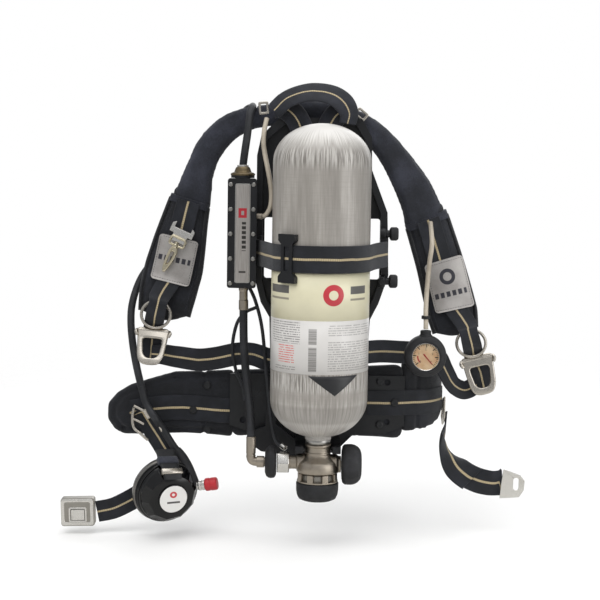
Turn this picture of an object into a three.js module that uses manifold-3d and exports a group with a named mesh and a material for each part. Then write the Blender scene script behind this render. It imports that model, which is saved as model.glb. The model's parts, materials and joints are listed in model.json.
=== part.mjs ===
// Firefighter's breathing apparatus: a carbon-fibre air cylinder on a back frame, with a pressure
// reducer, shoulder and waist harness, demand regulator and pressure gauge.
// Millimetres. +X is right and +Y is towards the wearer when the cylinder is looked at, +Z is up.
// The origin is the centre of the hanging face on the wearer's side of the back frame.
import * as THREE from 'three';
import { mergeVertices } from 'three/addons/utils/BufferGeometryUtils.js';
import Module from 'manifold-3d';

const wasm = await Module();
wasm.setup();

// ------------------------------------------------------------------ driving dimensions
const GAP = 0.3;                       // clearance between pieces that rest on each other

const frame = { plate: 4, rail: 17, back: -3, boss: [70, 100] };
const cylinder = { radius: 70, y: -95, crown: 223, dome: 55, shoulder: -176, base: 50, neck: -229, wall: 5 };
const valve = { z: -266, neckRadius: 17.5, bodyRadius: 31 };
const webbing = { width: 38, narrow: 32, yoke: 34, thickness: 2.2, padded: 8, handle: 3 };
const pad = { thickness: 13 };
const belt = {
  top: -143, bottom: -246, middle: -190, front: 2, thickness: 14, hingeLeft: -134, hingeRight: 132,
  curl: 46, turns: [0, 20, 40, 60, 82],
};
const band = { z: 34.5, radius: 71.6, end: 93, endY: -31 };
const reducer = { x: -114.5, width: 40, top: 143, bottom: -16, front: -60, back: -7.3, boreY: -26 };
const regulator = {
  base: [-226, -42, -318], faces: [0.42, -0.88, -0.2], radius: 48, inletTowards: [0.62, 0, 0.78],
};
const outlet = { base: [-174, -48, -311], towards: [0.97, -0.12, 0.16] };
const gauge = { x: 156, y: -46, z: -113, radius: 31, depth: 28 };
const hose = { pressure: 6, air: 5.5, gauge: 3.6 };

// ------------------------------------------------------------------ materials
const material = (color, roughness, metalness = 0) =>
  new THREE.MeshStandardMaterial({ color, roughness, metalness });
const look = {
  composite: material('#b5b0aa', 0.45),
  alloy: material('#a6a49f', 0.4, 0.9),
  forged: material('#8d867c', 0.45, 0.8),
  nickel: material('#cfccc6', 0.3, 0.9),
  chrome: material('#c9c5bd', 0.2, 1),
  plastic: material('#18191c', 0.45),
  gloss: material('#0d0d0f', 0.15),
  rubber: material('#1c1c1f', 0.8),
  webbing: material('#22242b', 0.85),
  padding: material('#25262d', 0.9),
  red: material('#b3282d', 0.5),
  line: material('#b9afa2', 0.5),
};

// ------------------------------------------------------------------ solid modelling helpers
const toSolid = (geometry) => {
  const bare = geometry.clone();
  bare.deleteAttribute('normal');
  bare.deleteAttribute('uv');
  const merged = mergeVertices(bare, 1e-3);
  const corners = merged.index.array;
  const triangles = [];
  for (let i = 0; i < corners.length; i += 3) {
    const [a, b, c] = corners.slice(i, i + 3);
    if (a !== b && b !== c && c !== a) triangles.push(a, b, c);      // a turned tip leaves none
  }
  return new wasm.Manifold(new wasm.Mesh({
    numProp: 3,
    vertProperties: new Float32Array(merged.attributes.position.array),
    triVerts: new Uint32Array(triangles),
  }));
};

const toGeometry = (solid) => {
  const { vertProperties, triVerts } = solid.getMesh();
  const geometry = new THREE.BufferGeometry();
  geometry.setAttribute('position', new THREE.BufferAttribute(new Float32Array(vertProperties), 3));
  geometry.setIndex(new THREE.BufferAttribute(new Uint32Array(triVerts), 1));
  geometry.computeVertexNormals();
  return geometry;
};

const join = (...pieces) => toGeometry(pieces.map(toSolid).reduce((all, piece) => all.add(piece)));
const cut = (piece, ...tools) =>
  toGeometry(tools.map(toSolid).reduce((rest, tool) => rest.subtract(tool), toSolid(piece)));

const block = (x, y, z) => {           // a box from three [low, high] ranges
  const size = [x, y, z].map(([low, high]) => high - low);
  const middle = [x, y, z].map(([low, high]) => (low + high) / 2);
  return new THREE.BoxGeometry(...size).translate(...middle);
};

const outline = (points) => {          // listed either way round, and kept anticlockwise
  const corners = points.map(([x, z]) => new THREE.Vector2(x, z));
  return new THREE.Shape(THREE.ShapeUtils.isClockWise(corners) ? corners.reverse() : corners);
};

// An upright plate: a shape drawn in X and Z, from y = rear to y = rear - thickness.
const plate = (shape, thickness, rear = 0) =>
  new THREE.ExtrudeGeometry(shape, { depth: thickness, bevelEnabled: false, curveSegments: 5 })
    .rotateX(Math.PI / 2).translate(0, rear, 0);

const roundedShape = (width, height, radius) => {
  const shape = new THREE.Shape();
  const [w, h] = [width / 2 - radius, height / 2 - radius];
  shape.absarc(w, h, radius, 0, Math.PI / 2);
  shape.absarc(-w, h, radius, Math.PI / 2, Math.PI);
  shape.absarc(-w, -h, radius, Math.PI, 1.5 * Math.PI);
  shape.absarc(w, -h, radius, 1.5 * Math.PI, 2 * Math.PI);
  return shape;
};

const windowIn = (shape, width, height, radius, x = 0, z = 0) => {
  const points = roundedShape(width, height, radius).getPoints(4);
  shape.holes.push(new THREE.Path(points.map((p) => new THREE.Vector2(p.x + x, p.y + z))));
  return shape;
};

// A turned piece about Z from a profile of [radius, height] points, listed upwards along the
// outside, or closed on itself when it is a ring.
const turned = (profile, segments = 20) =>
  new THREE.LatheGeometry(profile.map(([r, z]) => new THREE.Vector2(r, z)), segments)
    .rotateX(Math.PI / 2);
const turnedAlongX = (profile, segments = 20) => turned(profile, segments).rotateY(Math.PI / 2);

const arc = (cx, cz, rx, rz, from, to, count) =>
  Array.from({ length: count + 1 }, (_, i) => {
    const angle = THREE.MathUtils.degToRad(from + ((to - from) * i) / count);
    return [cx + rx * Math.cos(angle), cz + rz * Math.sin(angle)];
  });

const curveThrough = (rows) =>
  new THREE.CatmullRomCurve3(rows.map(([x, y, z]) => new THREE.Vector3(x, y, z)), false, 'centripetal');

const between = (values, at) => {      // a value read off an evenly spaced list
  const place = at * (values.length - 1);
  const index = Math.min(Math.floor(place), values.length - 2);
  return THREE.MathUtils.lerp(values[index], values[index + 1], place - index);
};

// Bends a geometry that stands along Y, from -0.5 to 0.5, onto a path. Its Z side keeps to the
// facing directions, which are listed at the path's points, and its width follows `widths`.
const bend = (geometry, rows, facings, widths = [1, 1]) => {
  const path = curveThrough(rows);
  const facing = facings.length > 1 ? curveThrough(facings) : new THREE.LineCurve3(
    new THREE.Vector3(...facings[0]), new THREE.Vector3(...facings[0]));
  const position = geometry.attributes.position;
  const vertex = new THREE.Vector3();
  for (let i = 0; i < position.count; i++) {
    vertex.fromBufferAttribute(position, i);
    const at = THREE.MathUtils.clamp(vertex.y + 0.5, 0, 1);
    const along = path.getTangent(at);
    const side = along.clone().cross(facing.getPoint(at)).normalize();
    const out = side.clone().cross(along).normalize();
    const place = path.getPoint(at)
      .addScaledVector(side, vertex.x * between(widths, at))
      .addScaledVector(out, vertex.z);
    position.setXYZ(i, place.x, place.y, place.z);
  }
  geometry.computeVertexNormals();
  return geometry;
};

// Flat webbing or a pad along a path; widths may change along it.
const strip = (rows, facings, widths, thickness, stepsPerSpan = 2) =>
  bend(new THREE.BoxGeometry(1, 1, thickness, 1, (rows.length - 1) * stepsPerSpan, 1), rows, facings, widths);

const tube = (rows, radius, stepsPerSpan = 2, sides = 8) =>
  bend(new THREE.CylinderGeometry(radius, radius, 1, sides, (rows.length - 1) * stepsPerSpan),
    rows, [[0.13, -0.9, 0.31]]);

// ------------------------------------------------------------------ assembly helpers
const pack = new THREE.Group();
const add = (name, geometry, finish, parent = pack, at = [0, 0, 0]) => {
  const mesh = new THREE.Mesh(geometry, finish);
  mesh.name = name;
  mesh.position.set(...at);
  parent.add(mesh);
};
const groupAt = (at, rotation = [0, 0, 0, 'XYZ']) => {
  const group = new THREE.Group();
  group.position.set(...at);
  group.rotation.set(...rotation);
  pack.add(group);
  return group;
};
const facingGroup = (at, direction) => {             // a group whose local Z points along direction
  const group = groupAt(at);
  const towards = new THREE.Vector3(...direction).normalize();
  group.quaternion.setFromUnitVectors(new THREE.Vector3(0, 0, 1), towards);
  group.updateMatrixWorld();
  return group;
};
const TOWARDS_VIEWER = [[0, -1, 0]];

// ------------------------------------------------------------------ back frame
const frameOutline = [
  [-62, 232], [58, 232], [73, 205], [74, 157], [98, 95], [101, 2], [87, -40], [75, -64], [71, -150],
  [62, -226], [52, -238], [26, -264], [-25, -272], [-84, -264], [-104, -250], [-104, -236], [-78, -226],
  [-71, -150], [-74, -62], [-87, -40], [-95, -10], [-95, 176], [-89, 205],
];
const frameRailInside = [
  [-54, 222], [50, 222], [63, 200], [64, 155], [88, 93], [91, 3], [78, -35], [66, -62], [61, -148],
  [52, -220], [20, -246], [-22, -254], [-62, -222], [-61, -148], [-65, -62], [-78, -36], [-86, -8],
  [-86, 172], [-80, 200],
];

function backFrame() {
  const sheet = outline(frameOutline);
  sheet.holes.push(outline([[-46, 205], [42, 205], [50, 150], [62, 100], [-62, 100], [-68, 170]]));
  sheet.holes.push(outline([[-50, -76], [50, -76], [46, -205], [-46, -205]]));
  windowIn(sheet, 22, 90, 4, 77, 40);
  windowIn(sheet, 16, 90, 4, -75, 40);
  const rails = outline(frameOutline);
  rails.holes.push(outline(frameRailInside));
  const boss = block([-frame.boss[0] / 2, frame.boss[0] / 2], [frame.back - 2, 0],
    [-frame.boss[1] / 2, frame.boss[1] / 2]);
  const reducerWing = block([-131, -90], [frame.back - frame.plate, frame.back], [5, 125]);
  const bandAnchor = (low, high) => block([low, high], [-28, frame.back - 2], [band.z - 24, band.z + 24]);
  const lumbar = outline([[-132, -150], [130, -150], [130, -226], [100, -238], [-100, -238], [-132, -228]]);
  [[-112, -160], [-112, -220], [104, -160], [104, -220]].forEach(([x, z]) => windowIn(lumbar, 9, 9, 4, x, z));
  return join(plate(sheet, frame.plate, frame.back), plate(rails, frame.rail, frame.back), boss,
    reducerWing, bandAnchor(-94.5, -86), bandAnchor(88, 99.5), plate(lumbar, frame.plate, 1));
}

function cylinderCradle() {
  const seat = block([-58, 58], [-55, frame.back - frame.plate - GAP], [-18, 18]);
  const bed = new THREE.CylinderGeometry(cylinder.radius + 0.6, cylinder.radius + 0.6, 60, 48)
    .rotateX(Math.PI / 2).translate(0, cylinder.y, 0);
  return cut(seat, bed);
}

function neckSaddle() {
  const shape = outline([[-33, 0], [33, 0], [33, 86], [-33, 86]]);
  const slab = new THREE.ExtrudeGeometry(shape, { depth: 11, bevelEnabled: false })
    .rotateX(Math.PI).translate(0, frame.back - frame.rail - GAP, -238.5);
  const throat = new THREE.CylinderGeometry(20.5, 20.5, 40, 24).rotateX(Math.PI / 2)
    .translate(0, cylinder.y, -245);
  return cut(slab, throat, block([-20.5, 20.5], [-130, cylinder.y], [-260, -230]));
}

add('back_frame', backFrame(), look.plastic);
add('cylinder_cradle', cylinderCradle(), look.rubber);
add('neck_saddle', neckSaddle(), look.plastic);

const knobProfile = [[0, 0], [7, 0], [10, 2], [10, 10], [8, 13], [0, 13]];
add('bracket_knob_upper', turnedAlongX(knobProfile, 16), look.rubber, pack, [101.5, -22, 64]);
add('bracket_knob_lower', turnedAlongX(knobProfile, 16), look.rubber, pack, [101.5, -22, -6]);

// ------------------------------------------------------------------ cylinder
function cylinderWrap() {
  const { radius, crown, dome, shoulder, base, neck, wall } = cylinder;
  const crownBase = crown - dome;
  const outside = [
    [18.8, neck],
    ...arc(0, shoulder, radius, base, -74.4, 0, 5),
    ...arc(0, crownBase, radius, dome, 0, 90, 6),
  ];
  const inner = radius - wall;
  const inside = [
    ...arc(0, crownBase, inner, dome - wall, 90, 0, 4),
    ...arc(0, shoulder, inner, base - wall, 0, -76, 4),
    [15.7, neck],
  ];
  return turned([...outside, ...inside, outside[0]], 32);
}

function cylinderLiner() {
  const { radius, crown, dome, shoulder, base, neck, wall } = cylinder;
  const crownBase = crown - dome;
  const outer = radius - wall - 1;
  const outside = [
    [10.4, neck - 7], [18, neck - 7], [18, neck - GAP], [15, neck - GAP],
    ...arc(0, shoulder, outer, base - wall - 1, -76, 0, 4),
    ...arc(0, crownBase, outer, dome - wall - 1, 0, 90, 4),
  ];
  const inside = [
    ...arc(0, crownBase, outer - 3, dome - wall - 4, 90, 0, 3),
    ...arc(0, shoulder, outer - 3, base - wall - 4, 0, -79, 3),
    [10.4, neck - 7],
  ];
  return turned([...outside, ...inside], 16);
}

add('cylinder_wrap', cylinderWrap(), look.composite, pack, [0, cylinder.y, 0]);
add('cylinder_liner', cylinderLiner(), look.alloy, pack, [0, cylinder.y, 0]);

// The retaining band runs from one side of the frame round the front of the cylinder to the other.
function cylinderBand() {
  const r = band.radius + webbing.thickness / 2;
  const leave = 18;                    // degrees from +X at which the band leaves the cylinder
  const wrap = arc(0, cylinder.y, r, r, 180 + leave, 360 - leave, 16).map(([x, y]) => [x, y, band.z]);
  const ends = [[-band.end, band.endY, band.z], [-80, -75, band.z]];
  const rows = [...ends, ...wrap, [80, -75, band.z], [98, band.endY, band.z]];
  const facings = rows.map(([x, y], i) =>
    (i < 2 ? [-1, -0.5, 0] : i > rows.length - 3 ? [1, -0.5, 0] : [x, y - cylinder.y, 0]));
  return strip(rows, facings, [webbing.width, webbing.width], webbing.thickness, 1);
}
add('cylinder_band', cylinderBand(), look.webbing);

const slideDepth = 72.5;               // from the cylinder's axis to the middle of the slide
function bandSlide() {
  const shape = outline([
    [-15, -34], [15, -34], [15, -25], [10, -20], [10, 20], [15, 25], [15, 34], [-15, 34], [-15, 25],
    [-10, 20], [-10, -20], [-15, -25],
  ]);
  windowIn(shape, 9, 34, 1.5);
  const body = plate(shape, 9, 5);
  const inner = band.radius - 1.2;
  const outer = band.radius + webbing.thickness + 0.8;
  const half = 20.5;
  const track = turned([
    [inner - 6, -half], [outer, -half], [outer, half], [inner - 6, half], [inner - 6, -half],
  ], 96)
    .translate(0, slideDepth, 0);
  const clearBehind = new THREE.CylinderGeometry(cylinder.radius + 0.8, cylinder.radius + 0.8, 90, 96)
    .rotateX(Math.PI / 2).translate(0, slideDepth, 0);
  return cut(body, track, clearBehind);
}
const slideAngle = THREE.MathUtils.degToRad(-40);
add('band_slide', bandSlide(), look.plastic, groupAt([0, cylinder.y, band.z], [0, 0, slideAngle]),
  [0, -slideDepth, 0]);

// ------------------------------------------------------------------ cylinder valve and its coupling
function valveBody() {
  const neckTop = cylinder.neck - 7 - GAP;
  const bell = turned([
    [0, -279], [24.8, -279], [24.8, -291], [29.5, -291], [29.5, -277], [valve.bodyRadius, -275],
    [valve.bodyRadius, -264], [22, -256], [valve.neckRadius, -251], [valve.neckRadius, neckTop],
    [10, neckTop], [10, -205], [0, -205],
  ], 24);
  const outlet = turnedAlongX([[0, -44], [9.5, -44], [9.5, 0], [0, 0]]).translate(0, 0, valve.z + 2);
  const wheelBoss = turnedAlongX([[0, 0], [11, 0], [11, 33.5], [0, 33.5]]).translate(0, 0, valve.z);
  const stemBore = turnedAlongX([[0, 5], [5.6, 5], [5.6, 40], [0, 40]]).translate(0, 0, valve.z);
  const windows = [0, 90].map((degrees) =>
    block([-15, 15], [-40, 40], [-292, -281]).rotateZ(THREE.MathUtils.degToRad(degrees)));
  return cut(join(bell, outlet, wheelBoss), stemBore, ...windows);
}

const valveAt = [0, cylinder.y, 0];
const valveAxisAt = [0, cylinder.y, valve.z];
add('valve_body', valveBody(), look.forged, pack, valveAt);
add('cylinder_gauge', turned([[0, -291], [23.5, -291], [23.5, -280], [0, -280]]), look.alloy, pack, valveAt);
add('valve_bumper', turned([
  [0, -318], [25, -318], [29, -314], [30.5, -306], [30.5, -292.3], [24, -291.3], [0, -291.3],
], 24), look.rubber, pack, valveAt);
add('valve_stem', turnedAlongX([[0, 7], [5, 7], [5, 46], [0, 46]], 16), look.nickel, pack, valveAxisAt);
add('handwheel', turnedAlongX([
  [5.3, 34.5], [20, 34.5], [27.5, 36], [29.5, 40], [29.5, 50], [27, 57], [21, 61.5], [11, 63.5], [0, 63.5],
  [0, 46.5], [5.3, 46.5], [5.3, 34.5],
], 24), look.rubber, pack, valveAxisAt);

const couplingAt = [0, cylinder.y, valve.z + 2];
add('coupling_nut', cut(
  new THREE.CylinderGeometry(16, 16, 18, 6).rotateZ(Math.PI / 2).translate(-50, 0, 0),
  turnedAlongX([[0, -70], [9.9, -70], [9.9, -30], [0, -30]]),
), look.nickel, pack, couplingAt);
add('coupling_ring', turnedAlongX([
  [7.6, -76], [17, -76], [22, -73], [23.5, -68], [22.5, -62], [17, -59.5], [7.6, -59.5], [7.6, -76],
], 20), look.rubber, pack, couplingAt);

function pressureElbow() {
  const bendPath = [
    [-45, 0, 0], [-70, 0, 0], [-90, 0, 0], [-94.5, 0, 2], [-96.5, 0, 7], [-96.5, 0, 20], [-96.5, 0, 35],
  ];
  const collar = turnedAlongX([[0, -89], [8.6, -89], [8.6, -76.4], [0, -76.4]], 16);
  return join(tube(bendPath, 6.6, 1, 12), collar);
}
add('pressure_elbow', pressureElbow(), look.forged, pack, couplingAt);

// ------------------------------------------------------------------ pressure reducer
function reducerBody() {
  const { x, width, top, bottom, front, back, boreY } = reducer;
  const half = width / 2 - 1.5;
  const body = block([x - half, x + half], [front + 4 + GAP, back], [bottom, top - 2]);
  const chamber = turned([[0, bottom + 30], [11, bottom + 30], [11, top + 5], [0, top + 5]])
    .translate(x, boreY, 0);
  const cap = turned([
    [0, top - 4], [11, top - 4], [11, top + GAP], [17, top + GAP], [17, top + 5], [9.5, top + 7],
    [8.5, top + 13],
    [5, top + 17], [0, top + 17],
  ]).translate(x, -44, 0);
  return cut(join(body, cap), chamber);
}
function reducerCover() {
  const { x, width, top, bottom, front } = reducer;
  const face = roundedShape(width + 2, top - bottom, 4);
  return plate(face, 4, front + 4).translate(x, 0, (top + bottom) / 2);
}
class Helix extends THREE.Curve {
  constructor(radius, low, high, turns) {
    super();
    Object.assign(this, { radius, low, high, turns });
  }
  getPoint(t, target = new THREE.Vector3()) {
    const angle = 2 * Math.PI * this.turns * t;
    return target.set(this.radius * Math.cos(angle), this.radius * Math.sin(angle),
      THREE.MathUtils.lerp(this.low, this.high, t));
  }
}
function reducerSpring() {
  const wire = new THREE.Shape(new THREE.Path().absarc(0, 0, 1.3, 0, 2 * Math.PI).getPoints(3));
  return new THREE.ExtrudeGeometry(wire, {
    steps: 40, bevelEnabled: false, extrudePath: new Helix(8, 43.8, 100, 4),
  }).translate(reducer.x, reducer.boreY, 0);
}
add('reducer_body', reducerBody(), look.plastic);
add('reducer_cover', reducerCover(), look.plastic);
add('reducer_piston', turned([[0, 18], [10.5, 18], [10.5, 42], [0, 42]]), look.nickel, pack,
  [reducer.x, reducer.boreY, 0]);
add('reducer_spring', reducerSpring(), look.alloy);

// ------------------------------------------------------------------ hoses and lines
const regulatorGroup = facingGroup(regulator.base, regulator.faces);
const angleTowards = (direction) => {  // a direction's angle in the plane of the regulator's face
  const side = new THREE.Vector3(...direction).applyQuaternion(regulatorGroup.quaternion.clone().invert());
  return Math.atan2(side.y, side.x);
};
const onRegulator = (angle, distance, height) => regulatorGroup.localToWorld(
  new THREE.Vector3(distance * Math.cos(angle), distance * Math.sin(angle), height)).toArray();
const inletAngle = angleTowards(regulator.inletTowards);

add('pressure_hose', tube([
  [-96.5, -95, -227.5], [-97, -93, -216], [-98, -84, -200], [-102, -66, -172], [-107, -52, -137],
  [-110.5, -44, -94],
  [-111.5, -39, -55], [-112, -38, -17],
], hose.pressure, 2), look.rubber);

add('air_hose_upper', tube([
  [reducer.x, -44, 161], [-112, -42, 182], [-109, -33, 206], [-106, -21, 236], [-103, -9, 252],
  [-103, 5, 257],
  [-105, 19, 253.5], [-124, 32, 229], [-158, 38, 192], [-188, 45, 150], [-209, 49, 105], [-226, 50, 60],
  [-247, 46, 22], [-270, 36, -12], [-282, 16, -55], [-279, 1, -102], [-270, -10, -146], [-263, -18, -170],
], hose.air, 2, 6), look.rubber);
add('air_hose_lower', tube([
  [-261.2, -19.6, -175.3], [-254, -26, -196], [-234, -37, -220], [-205, -43, -238], [-186, -47, -256],
  onRegulator(inletAngle, 66, 0), onRegulator(inletAngle, 59.5, 0),
], hose.air, 3, 6), look.rubber);

add('gauge_line_upper', tube([
  [reducer.x + reducer.width / 2 - 1, -45, 88], [-82, -45, 89], [-74, -45, 103], [-73.5, -45, 128],
  [-79.5, -45, 162], [-85, -40, 191], [-84.5, -34, 212], [-81, -27, 230],
], hose.gauge, 2, 6), look.line);
add('gauge_line_lower', tube([
  [165, 5, 92], [167, -7, 72], [162, -17, 26], [158, -26, -18], [156, -38, -48], [156, -45, -64],
  [156, -46, -73.5],
], hose.gauge, 2, 6), look.line);

// ------------------------------------------------------------------ shoulder harness
function shoulderPad(rows, widths, lean) {
  const facings = rows.map((_, i) => [lean * Math.sin((Math.PI * i) / (rows.length - 1)), -1, 0]);
  return strip(rows, facings, widths, pad.thickness, 2);
}
add('shoulder_pad_left', shoulderPad([
  [-10, 5, 240], [-38, 5, 241], [-66, 5, 238], [-89, 6, 234], [-114, 8, 227], [-143, 12, 210],
  [-169, 17, 180], [-184, 21, 146], [-194, 24, 113],
  [-203, 26, 79], [-211, 26, 44], [-219, 24, 6], [-228, 19, -32], [-234, 13, -74],
], [30, 34, 36, 37, 38, 42, 46, 50, 57, 66, 76, 84, 82, 72], -0.15), look.padding);
add('shoulder_pad_right', shoulderPad([
  [-4, 5, 240], [24, 5, 239], [50, 5, 229], [73, 6, 213], [99, 10, 187], [121, 15, 157],
  [141, 20, 124], [156, 24, 91], [169, 26, 54],
  [181, 26, 17], [192, 24, -23], [201, 18, -58], [207, 12, -90],
], [30, 34, 36, 40, 46, 54, 62, 64, 66, 68, 71, 72, 62], 0.15), look.padding);

const yokeWidths = [webbing.yoke, webbing.yoke];
add('yoke_web_left', strip([
  [-86, -9, 238], [-74, -19, 246], [-60, -25.5, 247], [-44, -25.5, 238], [-32, -25.5, 220], [-28, -25.5, 196],
], TOWARDS_VIEWER, yokeWidths, webbing.padded, 3), look.webbing);
add('yoke_web_right', strip([
  [60, -25.5, 234], [44, -25.5, 242], [25, -25.5, 240], [11, -25.5, 222], [7, -25.5, 196],
], TOWARDS_VIEWER, yokeWidths, webbing.padded, 3), look.webbing);

add('carry_handle', strip([
  [-70, -35, 241], [-51, -39, 258], [-18, -41, 268], [14, -42, 264], [31, -43, 252], [38, -42, 237],
  [36, -41, 224],
], [[-0.4, -1, 0], [-0.3, -0.8, 0.55], [0, -0.7, 0.7], [0.2, -0.75, 0.6], [0.3, -0.9, 0.3], [0.2, -1, 0],
  [0.1, -1, 0]], [26, 32, 38, 38, 34, 28, 24], webbing.handle, 3), look.webbing);

add('pad_strap_left', strip([
  [-222, 11, -12], [-229, 6, -36], [-237, 4, -60], [-246, 4, -92], [-251, 2, -122],
], TOWARDS_VIEWER, [38, 38, 34, 31, 30], webbing.thickness), look.webbing);
add('pad_strap_right', strip([
  [194, 14, -22], [203, 7, -50], [214, 4, -76], [230, 3.5, -112], [243, 3, -142],
], TOWARDS_VIEWER, [38, 38, 35, 32, 30], webbing.thickness), look.webbing);

// D-rings and ladder buckles under the shoulder pads.
const ringAt = { left: [-243, -9.5, -62], right: [227, -9.5, -98] };
const dRing = () => new THREE.TorusGeometry(20, 2.3, 6, 20).scale(1.08, 1, 1).rotateX(Math.PI / 2 - 0.1);
add('strap_ring_left', dRing(), look.chrome, pack, ringAt.left);
add('strap_ring_right', dRing(), look.chrome, pack, ringAt.right);

function strapBuckle() {
  const shape = outline([
    [-25, 0], [25, 0], [24, -14], [19, -50], [14, -60], [4, -63], [-8, -63], [-15, -59], [-19, -48],
    [-24, -12],
  ]);
  shape.holes.push(outline([
    [-16, -18], [-12, -14], [13, -14], [17, -18], [13, -46], [9, -52], [-7, -53], [-11, -48],
  ]));
  return plate(shape, 3, 0);
}
const buckleLean = { left: [-0.55, 0.08, 0, 'YXZ'], right: [-0.1, -0.24, 0, 'YXZ'] };
add('strap_buckle_left', strapBuckle(), look.chrome, groupAt([-246, -3, -81], buckleLean.left));
add('strap_buckle_right', strapBuckle(), look.chrome, groupAt([235, -3, -114], buckleLean.right));

add('lower_strap_left', strip([
  [-250, -6, -122], [-230, -7, -123], [-205, -8, -126], [-177, -9, -129], [-147, -9, -125],
  [-122, -12, -119],
  [-98, -20, -118], [-78, -23, -124],
], TOWARDS_VIEWER, [26, 31, 33, 34, 34, 34, 34, 34], webbing.thickness, 2), look.webbing);
add('lower_strap_right', strip([
  [70, -23, -112], [92, -17, -111], [120, -8, -113], [150, -4, -115], [176, -4, -120], [190, -4, -140],
  [203, -4, -162], [220, -2, -170], [238, 1.5, -162],
], [[0, -1, 0], [0, -1, 0], [0, -1, 0], [0, -1, 0], [0.25, -1, 0.2], [0.6, -1, 0.25], [0.45, -1, 0.6],
  [0, -1, 0.3], [0, -1, 0]], [34, 34, 34, 34, 32, 30, 30, 28, 26], webbing.thickness, 3), look.webbing);

// ------------------------------------------------------------------ snap hook on the left pad
const hookGroup = groupAt([-208.5, 10, 56], [0, 0.42, 0]);
function hookPlate() {
  const shape = outline([
    [-18, 13], [-13, 17], [-13, 8], [13, 8], [13, 15], [18, 12], [18, 0], [11, 0], [11, -12], [-11, -12],
    [-11, 0], [-18, 0],
  ]);
  return plate(shape, 2.5, 0);
}
function snapHook() {
  const swivel = block([-9, 9], [-8, -4.4], [-16, -4]);
  const stem = outline([[-4, -15], [4, -15], [3.5, -30], [2.5, -56], [-2, -58], [-4.5, -52], [-4.5, -30]]);
  return join(swivel, plate(stem, 4, -4));
}
const hookGate = () => plate(outline([[-4, -22], [0, -20], [2, -26], [-3, -48], [-6, -46]]), 2.5, -8.6);
add('hook_plate', hookPlate(), look.chrome, hookGroup);
add('snap_hook', snapHook(), look.chrome, hookGroup);
add('hook_gate', hookGate(), look.forged, hookGroup);

// ------------------------------------------------------------------ waist belt
function lumbarPad() {
  const middle = (belt.hingeLeft + belt.hingeRight) / 2;
  const shape = roundedShape(belt.hingeRight - belt.hingeLeft - 2, belt.top - belt.bottom, 14);
  const height = (belt.top + belt.bottom) / 2;
  return plate(shape, belt.thickness, belt.front + belt.thickness).translate(middle, 0, height);
}
function beltPadLeft() {
  const shape = outline([
    [belt.hingeLeft - 2, -144], [-215, -147], [-253, -158], [-283, -168], [-304, -181], [-318, -198],
    [-319, -221],
    [-308, -238], [-292, -247], [-268, -248], [-200, -245], [belt.hingeLeft - 2, -247],
  ]);
  return plate(shape, belt.thickness, belt.front + belt.thickness);
}
// The right wing curls round towards the wearer's waist, then runs straight back.
function beltPadRight() {
  const { hingeRight, front, thickness, curl, turns, middle } = belt;
  const onCurl = (degrees) => {
    const angle = THREE.MathUtils.degToRad(degrees);
    const x = hingeRight + 2 + curl * Math.sin(angle);
    return [x, front + thickness / 2 + curl * (1 - Math.cos(angle)), middle];
  };
  const rows = turns.map(onCurl);
  const [x, y] = rows.at(-1);
  rows.push([x + 4, y + 36, middle], [x + 3, y + 72, middle]);
  const facings = [...turns, 88, 90].map((degrees) => {
    const angle = THREE.MathUtils.degToRad(degrees);
    return [Math.sin(angle), -Math.cos(angle), 0];
  });
  return strip(rows, facings, [100, 98, 96, 93, 90, 82, 50], thickness, 2);
}
add('lumbar_pad', lumbarPad(), look.padding);
add('belt_pad_left', beltPadLeft(), look.padding);
add('belt_pad_right', beltPadRight(), look.padding);

function beltAdjuster() {
  const shape = outline([[-26, 20], [0, 13], [24, -18], [2, -29], [-27, -17]]);
  shape.holes.push(outline([[-20, 13], [-9, 10], [-9, -18], [-20, -13]]));
  shape.holes.push(outline([[-4, 7], [15, -16], [2, -22], [-4, -19]]));
  return plate(shape, 2.6, 0);
}
add('belt_adjuster_left', beltAdjuster(), look.chrome, pack, [-252, -9, -220]);
add('belt_adjuster_right', beltAdjuster(), look.chrome, groupAt([193, 62, -206], [0, 0, Math.PI / 2]));

const narrow = [webbing.narrow, webbing.narrow];
add('waist_strap_left', strip([
  [-266, -13.5, -203], [-255, -14.5, -218], [-243, -19, -236], [-229, -25, -256], [-221, -24, -272],
  [-220, -17, -286],
], [[-0.05, -1, 0.1]], [28, 30, 32, 32, 32, 30], webbing.thickness, 3), look.webbing);
add('buckle_strap', strip([
  [-222, -14, -292], [-232, -11, -309], [-246, -10, -322], [-262, -14, -332], [-280, -20, -342],
  [-303, -28, -352],
  [-327, -30, -357],
], TOWARDS_VIEWER, narrow, webbing.thickness, 3), look.webbing);
add('waist_strap_right', strip([
  [198, 52, -214], [197, 45, -233], [192, 35, -252], [196, 22, -270], [211, 6, -289], [237, -6, -304],
  [261, -11, -309], [279, -12, -308],
], [[1, 0, 0], [1, -0.1, 0], [0.95, -0.3, 0], [0.8, -0.6, 0.1], [0.4, -0.9, 0.2], [0.1, -1, 0.2], [0, -1, 0],
  [0, -1, 0]], [30, 30, 32, 36, 38, 38, 38, 38], webbing.thickness, 4), look.webbing);

// ------------------------------------------------------------------ demand regulator
function regulatorBody() {
  const { radius } = regulator;
  const drum = turned([
    [0, -14], [30, -14], [44, -10], [50, -4], [50, 3], [radius, 5], [radius, 8], [radius - 2, 9.5],
    [radius - 2, 12], [0, 12],
  ], 28);
  const inlet = turnedAlongX([[0, 30], [7.5, 30], [7.5, 58.6], [0, 58.6]], 12).rotateZ(inletAngle);
  return join(drum, inlet);
}
function regulatorCover() {
  const { radius } = regulator;
  return turned([
    [0, 12.3], [radius - 3, 12.3], [radius - 3, 15], [radius - 6, 22], [radius - 13, 31], [25, 37],
    [22, 38.5],
    [0, 38.5],
  ], 28);
}
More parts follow.
